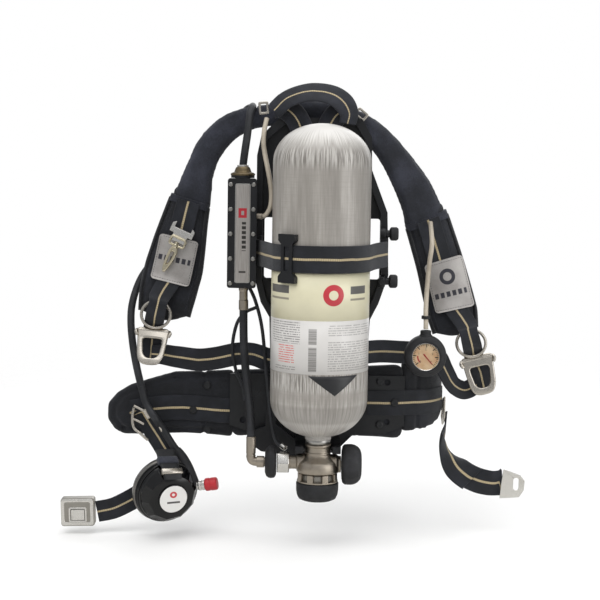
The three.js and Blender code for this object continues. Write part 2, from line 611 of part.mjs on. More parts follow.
// The holder is a strap that comes over the rim and lies on the upper slope of the cover.
function regulatorHolder() {
  const up = angleTowards([0.05, 0, 1]);
  const profile = [[64, -18], [58, -6], [55, 5], [51, 15], [46.5, 23], [40.5, 31]];
  const rows = profile.map(([distance, height]) => onRegulator(up, distance, height));
  const centre = onRegulator(up, 20, 0);
  const facings = rows.map((row) => row.map((value, i) => value - centre[i]));
  return strip(rows, facings, [37, 36, 34, 30, 28, 26], 4, 2);
}
add('regulator_body', regulatorBody(), look.gloss, regulatorGroup);
add('regulator_cover', regulatorCover(), look.gloss, regulatorGroup);
add('regulator_holder', regulatorHolder(), look.plastic);
const outletGroup = facingGroup(outlet.base, outlet.towards);
add('purge_stem', turned([[0, -3], [6, -3], [7.5, 1], [7.5, 9], [0, 9]], 16), look.nickel, outletGroup);
add('purge_knob', turned([[0, 9.3], [8, 9.3], [9.6, 11], [9.6, 26], [8, 28], [0, 28]], 12), look.red,
  outletGroup);

// ------------------------------------------------------------------ waist buckle
const buckleCaseGroup = groupAt([-355, -30, -356.5], [0, -0.03, 0]);
function buckleCase() {
  const shell = plate(roundedShape(50, 42, 4), 16, 8);
  const slot = block([-40, -8], [-2, 3], [-16, 16]);
  const buttonWell = block([-10.5, 10.5], [-20, -1], [-12.5, 4.5]);
  return cut(shell, slot, buttonWell);
}
add('buckle_case', buckleCase(), look.chrome, buckleCaseGroup);
add('buckle_button', block([-10, 10], [-9, -5.2], [-12, 4]), look.chrome, buckleCaseGroup);

function buckleTongue() {
  const shape = outline([[0, 21], [10, 18], [26, 12], [32, 4], [31, -10], [24, -21], [-5, -23], [-3, 0]]);
  windowIn(shape, 8, 19, 3.8, 19, -1);
  return plate(shape, 2.4, 0);
}
add('buckle_tongue', buckleTongue(), look.chrome, pack, [280, -14, -308]);

// ------------------------------------------------------------------ pressure gauge
const gaugeAt = [gauge.x, gauge.y, gauge.z];
function gaugeCase() {
  const r = gauge.radius;
  const half = gauge.depth / 2;
  const rim = turned([
    [0, -half], [r - 6, -half], [r - 1, -half + 5], [r, 0], [r - 2, half - 4], [r - 8, half],
    [20.5, half - 1],
    [20, half - 6], [0, half - 6],
  ], 24).rotateX(Math.PI / 2);
  const nipple = turned([[0, 20], [9, 20], [8, 38], [0, 38]], 12);
  return join(rim, nipple);
}
add('gauge_case', gaugeCase(), look.rubber, pack, gaugeAt);
const fullScale = THREE.MathUtils.degToRad(140);      // clockwise from the top of the dial
const gaugeNeedle = () =>
  plate(outline([[-1, -5], [1, -5], [0.5, 15], [-0.5, 15]]), 0.8, -8.6).rotateY(fullScale);
add('gauge_needle', gaugeNeedle(), look.red, pack, gaugeAt);

export default pack;
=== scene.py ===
"""Breathing apparatus: its looks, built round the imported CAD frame.

Shapes are laid out in millimetres, in the CAD frame: +X right, +Y towards the wearer, +Z up.
They are turned into metres when their mesh is made.
"""

import json
import math

import bmesh
import bpy
from mathutils import Matrix, Vector
from mathutils.bvhtree import BVHTree

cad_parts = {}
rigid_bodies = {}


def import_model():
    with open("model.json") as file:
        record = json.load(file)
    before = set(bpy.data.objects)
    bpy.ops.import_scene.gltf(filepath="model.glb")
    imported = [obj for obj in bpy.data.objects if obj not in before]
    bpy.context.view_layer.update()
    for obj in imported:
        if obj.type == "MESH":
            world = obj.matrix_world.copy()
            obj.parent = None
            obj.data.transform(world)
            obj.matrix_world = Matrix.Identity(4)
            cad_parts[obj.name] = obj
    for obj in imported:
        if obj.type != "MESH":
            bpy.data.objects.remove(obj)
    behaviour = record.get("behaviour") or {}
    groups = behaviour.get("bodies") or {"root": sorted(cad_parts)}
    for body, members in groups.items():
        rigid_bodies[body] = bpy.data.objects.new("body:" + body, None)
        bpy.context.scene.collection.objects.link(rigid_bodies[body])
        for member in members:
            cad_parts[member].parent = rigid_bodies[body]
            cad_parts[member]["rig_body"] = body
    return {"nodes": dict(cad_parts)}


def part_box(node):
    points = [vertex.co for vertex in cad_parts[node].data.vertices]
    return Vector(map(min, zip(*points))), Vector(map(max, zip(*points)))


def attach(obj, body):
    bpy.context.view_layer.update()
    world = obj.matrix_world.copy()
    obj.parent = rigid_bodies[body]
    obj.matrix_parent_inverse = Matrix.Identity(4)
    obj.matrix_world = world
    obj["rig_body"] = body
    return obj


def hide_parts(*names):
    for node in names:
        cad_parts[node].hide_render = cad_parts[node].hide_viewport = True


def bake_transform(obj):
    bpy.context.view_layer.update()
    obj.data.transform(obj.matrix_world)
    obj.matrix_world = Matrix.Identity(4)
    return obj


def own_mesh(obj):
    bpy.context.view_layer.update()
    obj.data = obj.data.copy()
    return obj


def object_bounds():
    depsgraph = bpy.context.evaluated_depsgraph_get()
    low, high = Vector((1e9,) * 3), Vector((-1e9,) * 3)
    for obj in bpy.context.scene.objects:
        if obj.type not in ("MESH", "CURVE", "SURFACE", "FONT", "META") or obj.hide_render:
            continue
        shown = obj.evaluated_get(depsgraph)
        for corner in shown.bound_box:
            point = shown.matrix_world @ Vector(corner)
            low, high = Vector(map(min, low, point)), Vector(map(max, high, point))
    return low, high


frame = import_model()
cad_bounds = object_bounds()
nodes = frame["nodes"]

MM = 0.001
RIGHT = Vector((1, 0, 0))
UP = Vector((0, 0, 1))
TO_VIEWER = Vector((0, -1, 0))
WEB = 2.2                               # thickness of webbing
PAD_THICKNESS = 13.0                    # of a shoulder pad
AIR_HOSE_RADIUS = 5.6
GAUGE_LINE_RADIUS = 3.5
FREE = "free"                           # in place of a body, for a piece that rides on no body


# ------------------------------------------------------------------ reading the frame
def cad_box(name):
    """Lowest corner, highest corner and centre of a CAD node, in millimetres."""
    low, high = (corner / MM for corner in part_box(name))
    return low, high, (low + high) / 2


def body_of(name):
    """The body that a CAD node rides on."""
    return nodes[name]["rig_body"]


def welded(name):
    """A CAD node's mesh in millimetres, its faces joined along their edges."""
    bm = bmesh.new()
    bm.from_mesh(nodes[name].data)
    bmesh.ops.remove_doubles(bm, verts=bm.verts, dist=0.01 * MM)
    bmesh.ops.scale(bm, vec=Vector((1, 1, 1)) / MM, verts=bm.verts)
    bm.verts.index_update()
    return bm


def node_shape(name, moved=Vector):
    """Points and faces of a CAD node, each point passed through moved."""
    bm = welded(name)
    points = [moved(v.co.copy()) for v in bm.verts]
    faces = [tuple(v.index for v in f.verts) for f in bm.faces]
    bm.free()
    return points, faces


def spine_of_tube(name):
    """Centres of a CAD tube's cross-sections, from its upper end down."""
    bm = welded(name)

    def is_cap_centre(vertex):
        spokes = [edge.calc_length() for edge in vertex.link_edges]
        return max(spokes) - min(spokes) < 0.01

    start = max((v for v in bm.verts if is_cap_centre(v)), key=lambda v: v.co.z)
    seen = {start}
    ring = {edge.other_vert(start) for edge in start.link_edges}
    sides = len(ring)
    centres = []
    while len(ring) == sides:
        centres.append(sum((v.co for v in ring), Vector()) / sides)
        seen |= ring
        ring = {e.other_vert(v) for v in ring for e in v.link_edges} - seen
    bm.free()
    return centres


def rim_of_strip(name, thickness):
    """Middles of the short edges round a CAD strip's rim, in order."""
    bm = welded(name)
    rail = {v: e for e in bm.edges if abs(e.calc_length() - thickness) < 0.01 for v in e.verts}
    beside = {}
    for face in bm.faces:                 # faces on the rim touch exactly two short edges
        pair = list({rail[v] for v in face.verts})
        if len(pair) == 2:
            beside.setdefault(pair[0], set()).add(pair[1])
            beside.setdefault(pair[1], set()).add(pair[0])
    loop = [next(iter(beside))]
    while True:
        onward = [e for e in beside[loop[-1]] if e not in loop[-2:] and e is not loop[0]]
        if not onward:
            break
        loop.append(onward[0])
    middles = [(e.verts[0].co + e.verts[1].co) / 2 for e in loop]
    bm.free()
    return middles


def spine_of_strip(name, thickness=WEB, facing=TO_VIEWER):
    """[centre, half width, facing] of a flat CAD strip's cross-sections, from its upper end down."""
    rim = rim_of_strip(name, thickness)
    count = len(rim)
    half = count // 2

    def pairs(start):
        return [(rim[(start + i) % count], rim[(start - 1 - i) % count]) for i in range(half)]

    rows = min((pairs(s) for s in range(half)), key=lambda r: sum((a - b).length for a, b in r))
    if rows[0][0].z + rows[0][1].z < rows[-1][0].z + rows[-1][1].z:
        rows.reverse()
    spine = []
    for i, (a, b) in enumerate(rows):
        ahead, behind = rows[min(i + 1, half - 1)], rows[max(i - 1, 0)]
        along = ahead[0] + ahead[1] - behind[0] - behind[1]
        spine.append([(a + b) / 2, (a - b) / 2, (a - b).cross(along).normalized()])
    if spine[0][2].dot(facing) < 0:
        spine = [[centre, -width, -out] for centre, width, out in spine]
    return spine


# ------------------------------------------------------------------ curves and rings
def catmull(values, steps):
    """Points on a smooth curve through evenly spaced values, `steps` for each span."""
    fine = []
    last = len(values) - 1
    for i in range(last):
        a, b, c, d = (values[min(max(k, 0), last)] for k in (i - 1, i, i + 1, i + 2))
        for s in range(steps):
            t = s / steps
            fine.append(0.5 * (2 * b + (c - a) * t + (2 * a - 5 * b + 4 * c - d) * t * t
                               + (3 * b - a - 3 * c + d) * t ** 3))
    fine.append(values[-1])
    return fine


def path(*rows, steps=8):
    """A smooth curve through a few (x, y, z) points."""
    return catmull([Vector(row) for row in rows], steps)


def finer(spine, steps):
    """More sections along a spine, its widths all pointing to the same side."""
    even = [spine[0]]
    for centre, half, out in spine[1:]:
        even.append((centre, half if half.dot(even[-1][1]) > 0 else -half, out))
    centres, halves, outs = (catmull(list(column), steps) for column in zip(*even))
    return [[c, h, o.normalized()] for c, h, o in zip(centres, halves, outs)]


def section_at(spine, index):
    """The section of a spine at a place between two of its own."""
    low = int(index)
    a, b = spine[low], spine[min(low + 1, len(spine) - 1)]
    return [a[k].lerp(b[k], index - low) for k in range(3)]


def index_at(spine, z):
    """How far along a spine that runs downwards its centre passes a height."""
    after = next(i for i, row in enumerate(spine) if row[0].z < z)
    above, below = spine[after - 1][0].z, spine[after][0].z
    return after - 1 + (above - z) / (above - below)


def soften(points, radius, steps=3, closed=True):
    """Rounds the corners of a polyline."""
    rounded = []
    count = len(points)
    for i, point in enumerate(points):
        here = Vector(point)
        if not closed and i in (0, count - 1):
            rounded.append(here)
            continue
        before, after = Vector(points[i - 1]) - here, Vector(points[(i + 1) % count]) - here
        start = here + before.normalized() * min(radius, before.length / 2.1)
        end = here + after.normalized() * min(radius, after.length / 2.1)
        for s in range(steps + 1):
            t = s / steps
            rounded.append((1 - t) ** 2 * start + 2 * t * (1 - t) * here + t * t * end)
    return rounded


def ring_of(count, radius=1.0, power=1.0):
    """Points round a circle or, with a power under one, a rounded square."""
    ring = []
    for i in range(count):
        angle = 2 * math.pi * i / count
        c, s = math.cos(angle), math.sin(angle)
        ring.append((math.copysign(abs(c) ** power, c) * radius,
                     math.copysign(abs(s) ** power, s) * radius))
    return ring


def rounded_rect(width, height, radius):
    """Outline of a rectangle about the origin, its corners rounded."""
    w, h = width / 2, height / 2
    return soften([(-w, -h), (w, -h), (w, h), (-w, h)], radius, 4)


def ellipse_arc(height, rx, rz, start, end, count):
    """(radius, height) points along a stretch of an ellipse, between two angles in degrees."""
    steps = [math.radians(start + (end - start) * i / count) for i in range(count + 1)]
    return [(rx * math.cos(a), height + rz * math.sin(a)) for a in steps]


# ------------------------------------------------------------------ meshes and pieces
def skin(rings, closed=False):
    """Points and faces of a surface through rings, capped, or with its last ring joined to the first."""
    count, total = len(rings[0]), len(rings)
    faces = []
    for i in range(total if closed else total - 1):
        a, b = i * count, (i + 1) % total * count
        faces += [(a + j, a + (j + 1) % count, b + (j + 1) % count, b + j) for j in range(count)]
    if not closed:
        faces.append(tuple(range(count))[::-1])
        faces.append(tuple(range((total - 1) * count, total * count)))
    return [point for ring in rings for point in ring], faces


def shaded(mesh, sharp=35):
    """Smooth shading, with edges sharper than an angle kept crisp."""
    mesh.polygons.foreach_set("use_smooth", [True] * len(mesh.polygons))
    mesh.set_sharp_from_angle(angle=math.radians(sharp))
    mesh.update()
    return mesh


def turned_outward(mesh, merge=0.0):
    """Points closer than merge are welded and every face is turned outwards."""
    bm = bmesh.new()
    bm.from_mesh(mesh)
    if merge:
        bmesh.ops.remove_doubles(bm, verts=bm.verts, dist=merge)
    bmesh.ops.recalc_face_normals(bm, faces=bm.faces)
    bm.to_mesh(mesh)
    bm.free()


def make_mesh(name, points, faces, uvs=None, sharp=35, outward=True):
    """A mesh in metres from points in millimetres; uvs has one pair for each point."""
    mesh = bpy.data.meshes.new(name)
    mesh.from_pydata([Vector(p) * MM for p in points], [], faces)
    if uvs:
        layer = mesh.uv_layers.new(name="UVMap")
        for loop in mesh.loops:
            layer.data[loop.index].uv = uvs[loop.vertex_index]
    if outward:
        turned_outward(mesh)
    return shaded(mesh, sharp)


def piece(name, mesh, finish, node=None, body=None):
    """A shown object, which may stand for a CAD node; it rides on that node's body, or on the root."""
    made = bpy.data.objects.new(name, mesh)
    bpy.context.scene.collection.objects.link(made)
    mesh.materials.clear()
    mesh.materials.append(finish.material)
    settle(made, node, body or (body_of(node) if node else "root"))
    return made


def settle(made, node, body):
    """Lets a piece ride on a body, unless it is FREE, and stand for a CAD node if one is given."""
    if body != FREE:
        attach(made, body)
    if node:
        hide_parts(node)


def turn_to(axis):
    """The turn that lays +Z along an axis."""
    return UP.rotation_difference(Vector(axis).normalized()).to_matrix()


def lathe(name, profile, at, axis, finish, hollow=False, segments=72, rounding=0.0, sharp=32, **rides):
    """A turned piece: (radius, height) points from its foot to its head, or round a ring's section."""
    if rounding:
        profile = soften(profile, rounding, closed=hollow)
    turn = turn_to(axis)
    rings = []
    for radius, height in profile:
        around = ring_of(segments, max(radius, 0.02))
        rings.append([Vector(at) + turn @ Vector((c, s, height)) for c, s in around])
    mesh = make_mesh(name, *skin(rings, closed=hollow), sharp=sharp)
    return piece(name, mesh, finish, **rides)


def tube(name, centres, radius, finish, sides=14, flat=1.0, closed=False, **rides):
    """A round tube along a path; radius may be a list, one for each centre."""
    radii = radius if isinstance(radius, list) else [radius] * len(centres)
    rings, uvs, run = [], [], 0.0
    side = None
    for i, centre in enumerate(centres):
        ahead = centres[(i + 1) % len(centres)] if closed or i < len(centres) - 1 else centre
        behind = centres[i - 1] if closed or i else centre
        along = (ahead - behind).normalized()
        if side is None:
            side = along.cross(TO_VIEWER if abs(along.y) < 0.9 else UP)
        side = (side - along * side.dot(along)).normalized()
        out = along.cross(side)
        run += (centre - centres[i - 1]).length if i else 0.0
        rings.append([centre + radii[i] * (side * c + out * s * flat) for c, s in ring_of(sides)])
        uvs += [(j / sides, run * MM) for j in range(sides)]
    return piece(name, make_mesh(name, *skin(rings, closed=closed), uvs), finish, **rides)


def loft(name, spine, section, finish, **rides):
    """A surface whose sections stand on a spine; section points are (share of half width, mm proud)."""
    rings, uvs, run = [], [], 0.0
    for i, (centre, half, out) in enumerate(spine):
        run += (centre - spine[i - 1][0]).length if i else 0.0
        rings.append([centre + half * u + out * h for u, h in section])
        uvs += [((u + 1) / 2, run * MM) for u, h in section]
    return piece(name, make_mesh(name, *skin(rings), uvs, sharp=50), finish, **rides)


def strap(name, spine, finish, **rides):
    """Webbing: flat, with a soft selvedge along each edge."""
    edge = [(1, 0.25), (0.985, 0.75), (0.95, 1.0), (0.9, 0.92), (0.45, 1.0)]
    front = [(-u, h) for u, h in edge] + [(0, 1.02)] + edge[::-1]
    section = [(u, h * WEB / 2) for u, h in front]
    section += [(u, -h) for u, h in reversed(section)]
    return loft(name, finer(spine, 3), section, finish, **rides)


def plate(name, outline, thickness, place, finish, holes=(), edge=0.5, **rides):
    """A flat plate with rounded edges, drawn in X and Y about its own centre plane."""
    curve = bpy.data.curves.new(name, "CURVE")
    curve.dimensions = "2D"
    curve.fill_mode = "BOTH"
    curve.extrude = (thickness / 2 - edge) * MM
    curve.bevel_depth = edge * MM
    curve.bevel_resolution = 2
    curve.offset = -edge * MM
    for points in (outline, *holes):
        spline = curve.splines.new("POLY")
        spline.points.add(len(points) - 1)
        for knot, (x, y) in zip(spline.points, points):
            knot.co = (x * MM, y * MM, 0, 1)
        spline.use_cyclic_u = True
    mesh = mesh_of_curve(name, curve, place)
    turned_outward(mesh, 0.002 * MM)
    return piece(name, shaded(mesh), finish, **rides)


def mesh_of_curve(name, curve, place):
    """The mesh of a curve or of a text, moved to its place in millimetres."""
    drawn = bpy.data.objects.new(name, curve)
    mesh = bpy.data.meshes.new_from_object(drawn)
    bpy.data.objects.remove(drawn)
    move = place.copy()
    move.translation = move.translation * MM
    mesh.transform(move)
    return mesh


def facing_plate(at, normal=TO_VIEWER, roll=0.0):
    """Where a plate drawn in X and Y stands so that its face looks along normal."""
    normal = Vector(normal).normalized()
    right = UP.cross(normal).normalized() if abs(normal.z) < 0.95 else RIGHT
    place = Matrix((right, normal.cross(right), normal)).transposed().to_4x4()
    place = place @ Matrix.Rotation(roll, 4, "Z")
    place.translation = Vector(at)
    return place


def together(name, objects, node=None):
    """Joins pieces of one body and one finish into one, which may stand for a CAD node."""
    first = objects[0]
    bm = bmesh.new()
    for made in objects:
        bm.from_mesh(made.data)
    mesh = bpy.data.meshes.new(name)
    bm.to_mesh(mesh)
    bm.free()
    mesh.materials.append(first.data.materials[0])
    for made in objects[1:]:
        bpy.data.objects.remove(made)
    first.data = shaded(mesh)
    first.name = name
    settle(first, node, FREE)


def refine(name, finish, edge):
    """Keeps a CAD node on show, with softened edges and its material."""
    node = nodes[name]
    node.data.materials.clear()
    node.data.materials.append(finish.material)
    node.data.polygons.foreach_set("use_smooth", [True] * len(node.data.polygons))
    node.modifiers.new("weld", "WELD").merge_threshold = 0.01 * MM
    if edge:
        bevel = node.modifiers.new("edges", "BEVEL")
        bevel.width = edge * MM
        bevel.segments = 2
        bevel.limit_method = "ANGLE"
        bevel.angle_limit = math.radians(38)
        bevel.use_clamp_overlap = True
    node.modifiers.new("normals", "WEIGHTED_NORMAL").keep_sharp = False


# ------------------------------------------------------------------ material tools
def colour(code, factor=1.0):
    """Linear RGBA of a #rrggbb code, darkened by a factor."""
    parts = [int(code[i:i + 2], 16) / 255 for i in (1, 3, 5)]
    return [factor * (c / 12.92 if c < 0.04045 else ((c + 0.055) / 1.055) ** 2.4) for c in parts] + [1.0]


class Signal:
    """A value that varies over a surface; arithmetic on it adds Math nodes to its material."""

    def __init__(self, finish, socket):
        self.finish = finish
        self.socket = socket

    def math(self, operation, *others):
        return self.finish.add("Math", dict(enumerate((self, *others))), operation=operation)

    def __add__(self, other):
        return self.math("ADD", other)

    def __sub__(self, other):
        return self.math("SUBTRACT", other)

    def __mul__(self, other):
        return self.math("MULTIPLY", other)

    def far(self, other):
        """Distance from where both values are 0."""
        return (self.math("POWER", 2.0) + other.math("POWER", 2.0)).math("SQRT")

    def between(self, low, high, to_low=0.0, to_high=1.0):
        """Eases from to_low to to_high as the value goes from low to high."""
        inputs = {0: self, 1: low, 2: high, 3: to_low, 4: to_high}
        return self.finish.add("MapRange", inputs, interpolation_type="SMOOTHSTEP")

    def inside(self, low, high, soft=0.2):
        """1 between low and high, 0 outside, with a soft edge."""
        return self.between(low - soft, low + soft) * self.between(high - soft, high + soft, 1.0, 0.0)

    def wave(self, period):
        """A sine of a length, from -1 to 1."""
        return (self * (2 * math.pi / period)).math("SINE")


class Finish:
    """A procedural material: one Principled shader and the nodes that drive it."""

    def __init__(self, name, base, roughness, metallic=0.0, slot=None, **inputs):
        self.slot = slot or name
        self.material = bpy.data.materials.new(name)
        self.material.use_nodes = True
        self.material.diffuse_color = colour(base)
        self.tree = self.material.node_tree
        self.shader = self.tree.nodes["Principled BSDF"]
        inputs = {"Base Color": colour(base), "Roughness": roughness, "Metallic": metallic, **inputs}
        for key, value in inputs.items():
            self.put(self.shader, key.replace("_", " "), value)

    def put(self, node, socket, value):
        if isinstance(value, Signal):
            self.tree.links.new(value.socket, node.inputs[socket])
        else:
            node.inputs[socket].default_value = value

    def node(self, kind, inputs=None, **settings):
        node = self.tree.nodes.new("ShaderNode" + kind)
        for key, value in settings.items():
            setattr(node, key, value)
        for key, value in (inputs or {}).items():
            self.put(node, key, value)
        return node

    def add(self, kind, inputs=None, output=0, **settings):
        return Signal(self, self.node(kind, inputs, **settings).outputs[output])

    def place(self, scale=(1, 1, 1), kind="Object"):
        """A place on the piece in millimetres, each direction scaled."""
        source = self.add("TexCoord", output=kind)
        return self.add("Mapping", {"Vector": source, "Scale": [s / MM for s in scale]})

    def split(self, vector):
        return [Signal(self, socket) for socket in self.node("SeparateXYZ", {0: vector}).outputs]

    def xyz(self):
        """X, Y and Z in the CAD frame, in millimetres."""
        return self.split(self.place())

    def laid_out(self):
        """The share across webbing or a patch, and millimetres along it, from its UV."""
        u, v, _ = self.split(self.add("TexCoord", output="UV"))
        return u, v * (1 / MM)

    def noise(self, vector, scale, detail, roughness=0.55):
        inputs = {"Vector": vector, "Scale": scale, "Detail": detail, "Roughness": roughness}
        return self.add("TexNoise", inputs)

    def patchy(self, scale, detail=3.0, roughness=0.55):
        """Noise over the piece, its scale for one millimetre."""
        return self.noise(self.place(), scale, detail, roughness)

    def mix(self, factor, a, b):
        a, b = (colour(x) if isinstance(x, str) else x for x in (a, b))
        return self.add("Mix", {0: factor, 6: a, 7: b}, output=2, data_type="RGBA")

    def base(self, value):
        self.put(self.shader, "Base Color", value)
        return self

    def rough(self, value):
        self.put(self.shader, "Roughness", value)
        return self

    def bump(self, height, depth):
        """Bump from a height of about 0 to 1, depth in millimetres, on top of any bump before it."""
        inputs = {"Height": height, "Strength": 1.0, "Distance": depth * MM}
        before = self.shader.inputs["Normal"].links
        if before:
            inputs["Normal"] = Signal(self, before[0].from_socket)
        self.put(self.shader, "Normal", self.add("Bump", inputs))
        return self


# ------------------------------------------------------------------ materials
def moulded(name, base, roughness, wear, grain=0.35, **inputs):
    """Moulded plastic or rubber: fine grain, slight bloom and dust."""
    made = Finish(name, base, roughness, **inputs)
    made.base(made.mix(made.patchy(0.02, 5).between(0.45, 0.8), base, wear))
    made.rough(made.patchy(0.12, 4).between(0.2, 0.8, roughness - 0.08, roughness + 0.12))
    return made.bump(made.patchy(1.6, 2), grain * 0.3)


def metal(name, base, roughness, dark, grain, streak=(1, 1, 1), **inputs):
    """Plated, cast or brushed metal: tarnish in patches and fine scratches."""
    made = Finish(name, base, roughness, 1.0, **inputs)
    made.base(made.mix(made.patchy(0.05, 5, 0.6).between(0.5, 0.95), base, dark))
    scratches = made.noise(made.place(streak), 0.9, 4, 0.7)
    made.rough(scratches.between(0.25, 0.8, roughness * 0.85, roughness * 1.25))
    return made.bump(scratches, grain)


def cloth(name, base, light, weave=1.1):
    """Woven nylon: a plain weave, worn lighter in patches."""
    made = Finish(name, base, 0.85, slot="padding", Sheen_Weight=0.14, Sheen_Roughness=0.5)
    x, y, z = made.xyz()
    lean = y * 0.4
    threads = (x + lean).wave(weave) * (z + lean).wave(weave)
    tone = made.patchy(0.018, 6, 0.6) * 0.8 + made.patchy(0.5) * 0.25
    made.base(made.mix(tone.between(0.4, 0.75), base, light))
    made.bump(threads, 0.12)
    return made.bump(made.patchy(0.06), 1.6)


def woven_strap(name, base, light, tracer_share=0.1):
    """Webbing with chevron ribs and a beige tracer that wanders a little about its middle."""
    made = Finish(name, base, 0.82, slot="webbing", Sheen_Weight=0.12, Sheen_Roughness=0.5)
    across, length = made.laid_out()
    wander = made.noise(made.place(kind="UV", scale=(0, 0.03, 0)), 1.0, 2) * 0.05 - 0.025
    from_middle = (across - 0.5 + wander).math("ABSOLUTE")
    ribs = (length + across.math("PINGPONG", 0.125) * 14).wave(1.5)
    tone = made.mix(made.patchy(0.03, 5).between(0.4, 0.75), base, light)
    tone = made.mix(ribs.between(-1, 1) * 0.35, tone, "#0c0d10")
    tracer = made.mix(length.wave(3.2).between(-1, 1) * 0.5, "#b5a583", "#7d7057")
    on_tracer = from_middle.between(tracer_share / 2 * 0.75, tracer_share / 2, 1.0, 0.0)
    made.base(made.mix(on_tracer, tone, tracer))
    made.bump(ribs, 0.12)
    return made.bump(on_tracer, 0.4)


def reflective_cloth(name, ring_at, dashes_at):
    """Silver patch with a plain dark ring and a row of dashes, each so many millimetres down it."""
    made = Finish(name, "#a5a09c", 0.42, 0.35, slot="padding")
    cells = made.add("TexVoronoi", {"Vector": made.place(), "Scale": 0.7}, feature="DISTANCE_TO_EDGE")
    tone = made.mix(made.patchy(0.03, 5).between(0.35, 0.8), "#aaa6a2", "#918c88")
    tone = made.mix(cells.between(0.0, 0.12, 0.35, 0.0), tone, "#6f6b68")
    across, down = made.laid_out()
    across = across * 60 - 30
    dashes = across.inside(-25, 24) * down.inside(dashes_at, dashes_at + 8)
    dashes = dashes * (across - 2.5).wave(9).between(-0.6, -0.3)
    inked = across.far(down - ring_at).inside(6.5, 12).math("MAXIMUM", dashes)
    made.base(made.mix(inked, tone, "#35343a"))
    return made.bump(cells, 0.1)


PLASTIC = moulded("frame_plastic", "#0c0d10", 0.42, "#16171b")
RUBBER = moulded("soft_rubber", "#19191b", 0.62, "#29292c", 0.6)
HOSE = moulded("hose_rubber", "#17181b", 0.5, "#2c2d31", 0.5)
LINE = moulded("gauge_line", "#b3a999", 0.36, "#8d8474", 0.15)
GLOSS = moulded("gloss_black", "#040405", 0.13, "#0a0a0c", 0.05, Coat_Weight=0.1, Specular_IOR_Level=0.4)
RED = moulded("red_plastic", "#a81f27", 0.38, "#c23a3e", 0.2)
THREAD = moulded("thread", "#2c2e36", 0.7, "#3c3e47", 0.0, slot="webbing")
DARK_LABEL = moulded("dark_label", "#1d1d1f", 0.35, "#2c2c2e", 0.0, slot="composite")
DIAL_INK = moulded("dial_ink", "#1c1917", 0.6, "#3a3b3f", 0.0, slot="gauge_line")
CHROME = metal("chrome", "#c8c1b6", 0.26, "#9a9388", 0.02)
FORGED = metal("forged_metal", "#b0a698", 0.36, "#7d7467", 0.3)
NICKEL = metal("nickel", "#e6e3dd", 0.24, "#b4afa6", 0.12)
# painted shade: a darker copy of the nickel, for the buckle case inside its pressed frames
SHADED_NICKEL = metal("shaded_nickel", "#a8a49c", 0.34, "#86827b", 0.12, slot="nickel")
ALLOY = metal("alloy", "#b4b2ad", 0.34, "#8b8985", 0.15, (1, 1, 0.05))
BRASS = metal("hook_brass", "#ddd3b8", 0.22, "#a89b7c", 0.03)
SPRING = metal("spring_steel", "#a9a9a6", 0.3, "#6d6d6a", 0.1)
CAP = metal("cap_bronze", "#7b6d55", 0.38, "#4d4436", 0.2, slot="forged_metal")
DRUM = metal("drum_metal", "#a39f98", 0.42, "#6b6762", 0.2, slot="alloy")
SATIN = metal("satin_ring", "#84817d", 0.28, "#4a4846", 0.05, slot="gloss_black")
PADDING = cloth("padding", "#111216", "#202229")
SLEEVE = cloth("sleeve_cloth", "#1b1d24", "#343641")
# darker than the padding: partly the tape's own colour, partly painted shade along the pad's edges
BINDING_WITH_SHADE = cloth("binding_tape_with_shade", "#0b0c0f", "#17181d", weave=0.8)
WEBBING = woven_strap("webbing", "#16181d", "#25272f")
ROLLED = woven_strap("rolled_webbing", "#191b21", "#2b2d36", tracer_share=0.075)
GLASS = Finish("lens", "#ffffff", 0.04, slot="nickel", Transmission_Weight=1.0, IOR=1.15)

# ------------------------------------------------------------------ cylinder
wrap_low, wrap_high, wrap_at = cad_box("cylinder_wrap")
CYLINDER_RADIUS = (wrap_high.x - wrap_low.x) / 2
AXIS_Y = wrap_at.y
BARE = (0, AXIS_Y, 0)                   # the cylinder's axis, where heights are the CAD frame's own


def round_barrel(made):
    """How far round the barrel from its front, and the height, both in millimetres."""
    x, y, z = made.xyz()
    return x.math("ARCTAN2", y * -1.0 + AXIS_Y) * CYLINDER_RADIUS, z


def resin_wrap():
    """Glass and carbon in clear resin: grey on the barrel, streaked near the ends, with a pale crown, and a
    painted shadow down the barrel just right of its front.
    """
    made = Finish("composite", "#aaa59e", 0.4, 0.1, Coat_Weight=0.4, Coat_Roughness=0.25)
    arc, z = round_barrel(made)

    def strands(across_scale, along_scale, detail):
        where = made.add("CombineXYZ", {0: arc * across_scale, 1: z * along_scale})
        return made.noise(where, 1.0, detail, 0.6)

    fine = strands(0.4, 0.02, 5)
    broad = strands(0.05, 0.006, 3)
    hoops = strands(0.02, 0.5, 4)
    ragged = z + (fine - 0.5) * 70
    ends = z.inside(164, 190, 9).math("MAXIMUM", z.inside(-152, -128, 5))
    streaks = made.mix(fine.between(0.4, 0.6), "#c4c0ba", "#6d6862")
    tone = made.mix(broad.between(0.3, 0.7), "#a6a19a", "#8b867f")
    for mask, strength, over in (
        (fine.between(0.35, 0.7), 0.4, "#7b766f"),
        (hoops.between(0.42, 0.7), 0.3, "#87827b"),
        # painted shadow: a darker vertical band just right of the barrel's front
        (arc.inside(8, 22, 10), 0.35, "#7a756f"),
        (ends, 0.7, streaks),
        (ragged.between(184, 212), 1.0, "#cbc8c3"),
        (ragged.between(-160, -190), 0.6, "#b9b5af"),
        (z.between(-150, -165) * fine.between(0.4, 0.6), 0.35, "#7a756f"),
        (z.inside(-198, -173, 3), 0.4, "#6b665f"),
    ):
        tone = made.mix(mask * strength, tone, over)
    made.base(tone)
    made.rough(fine.between(0.3, 0.7, 0.34, 0.48))
    made.bump(hoops, 0.12)
    return made.bump(fine, 0.12)


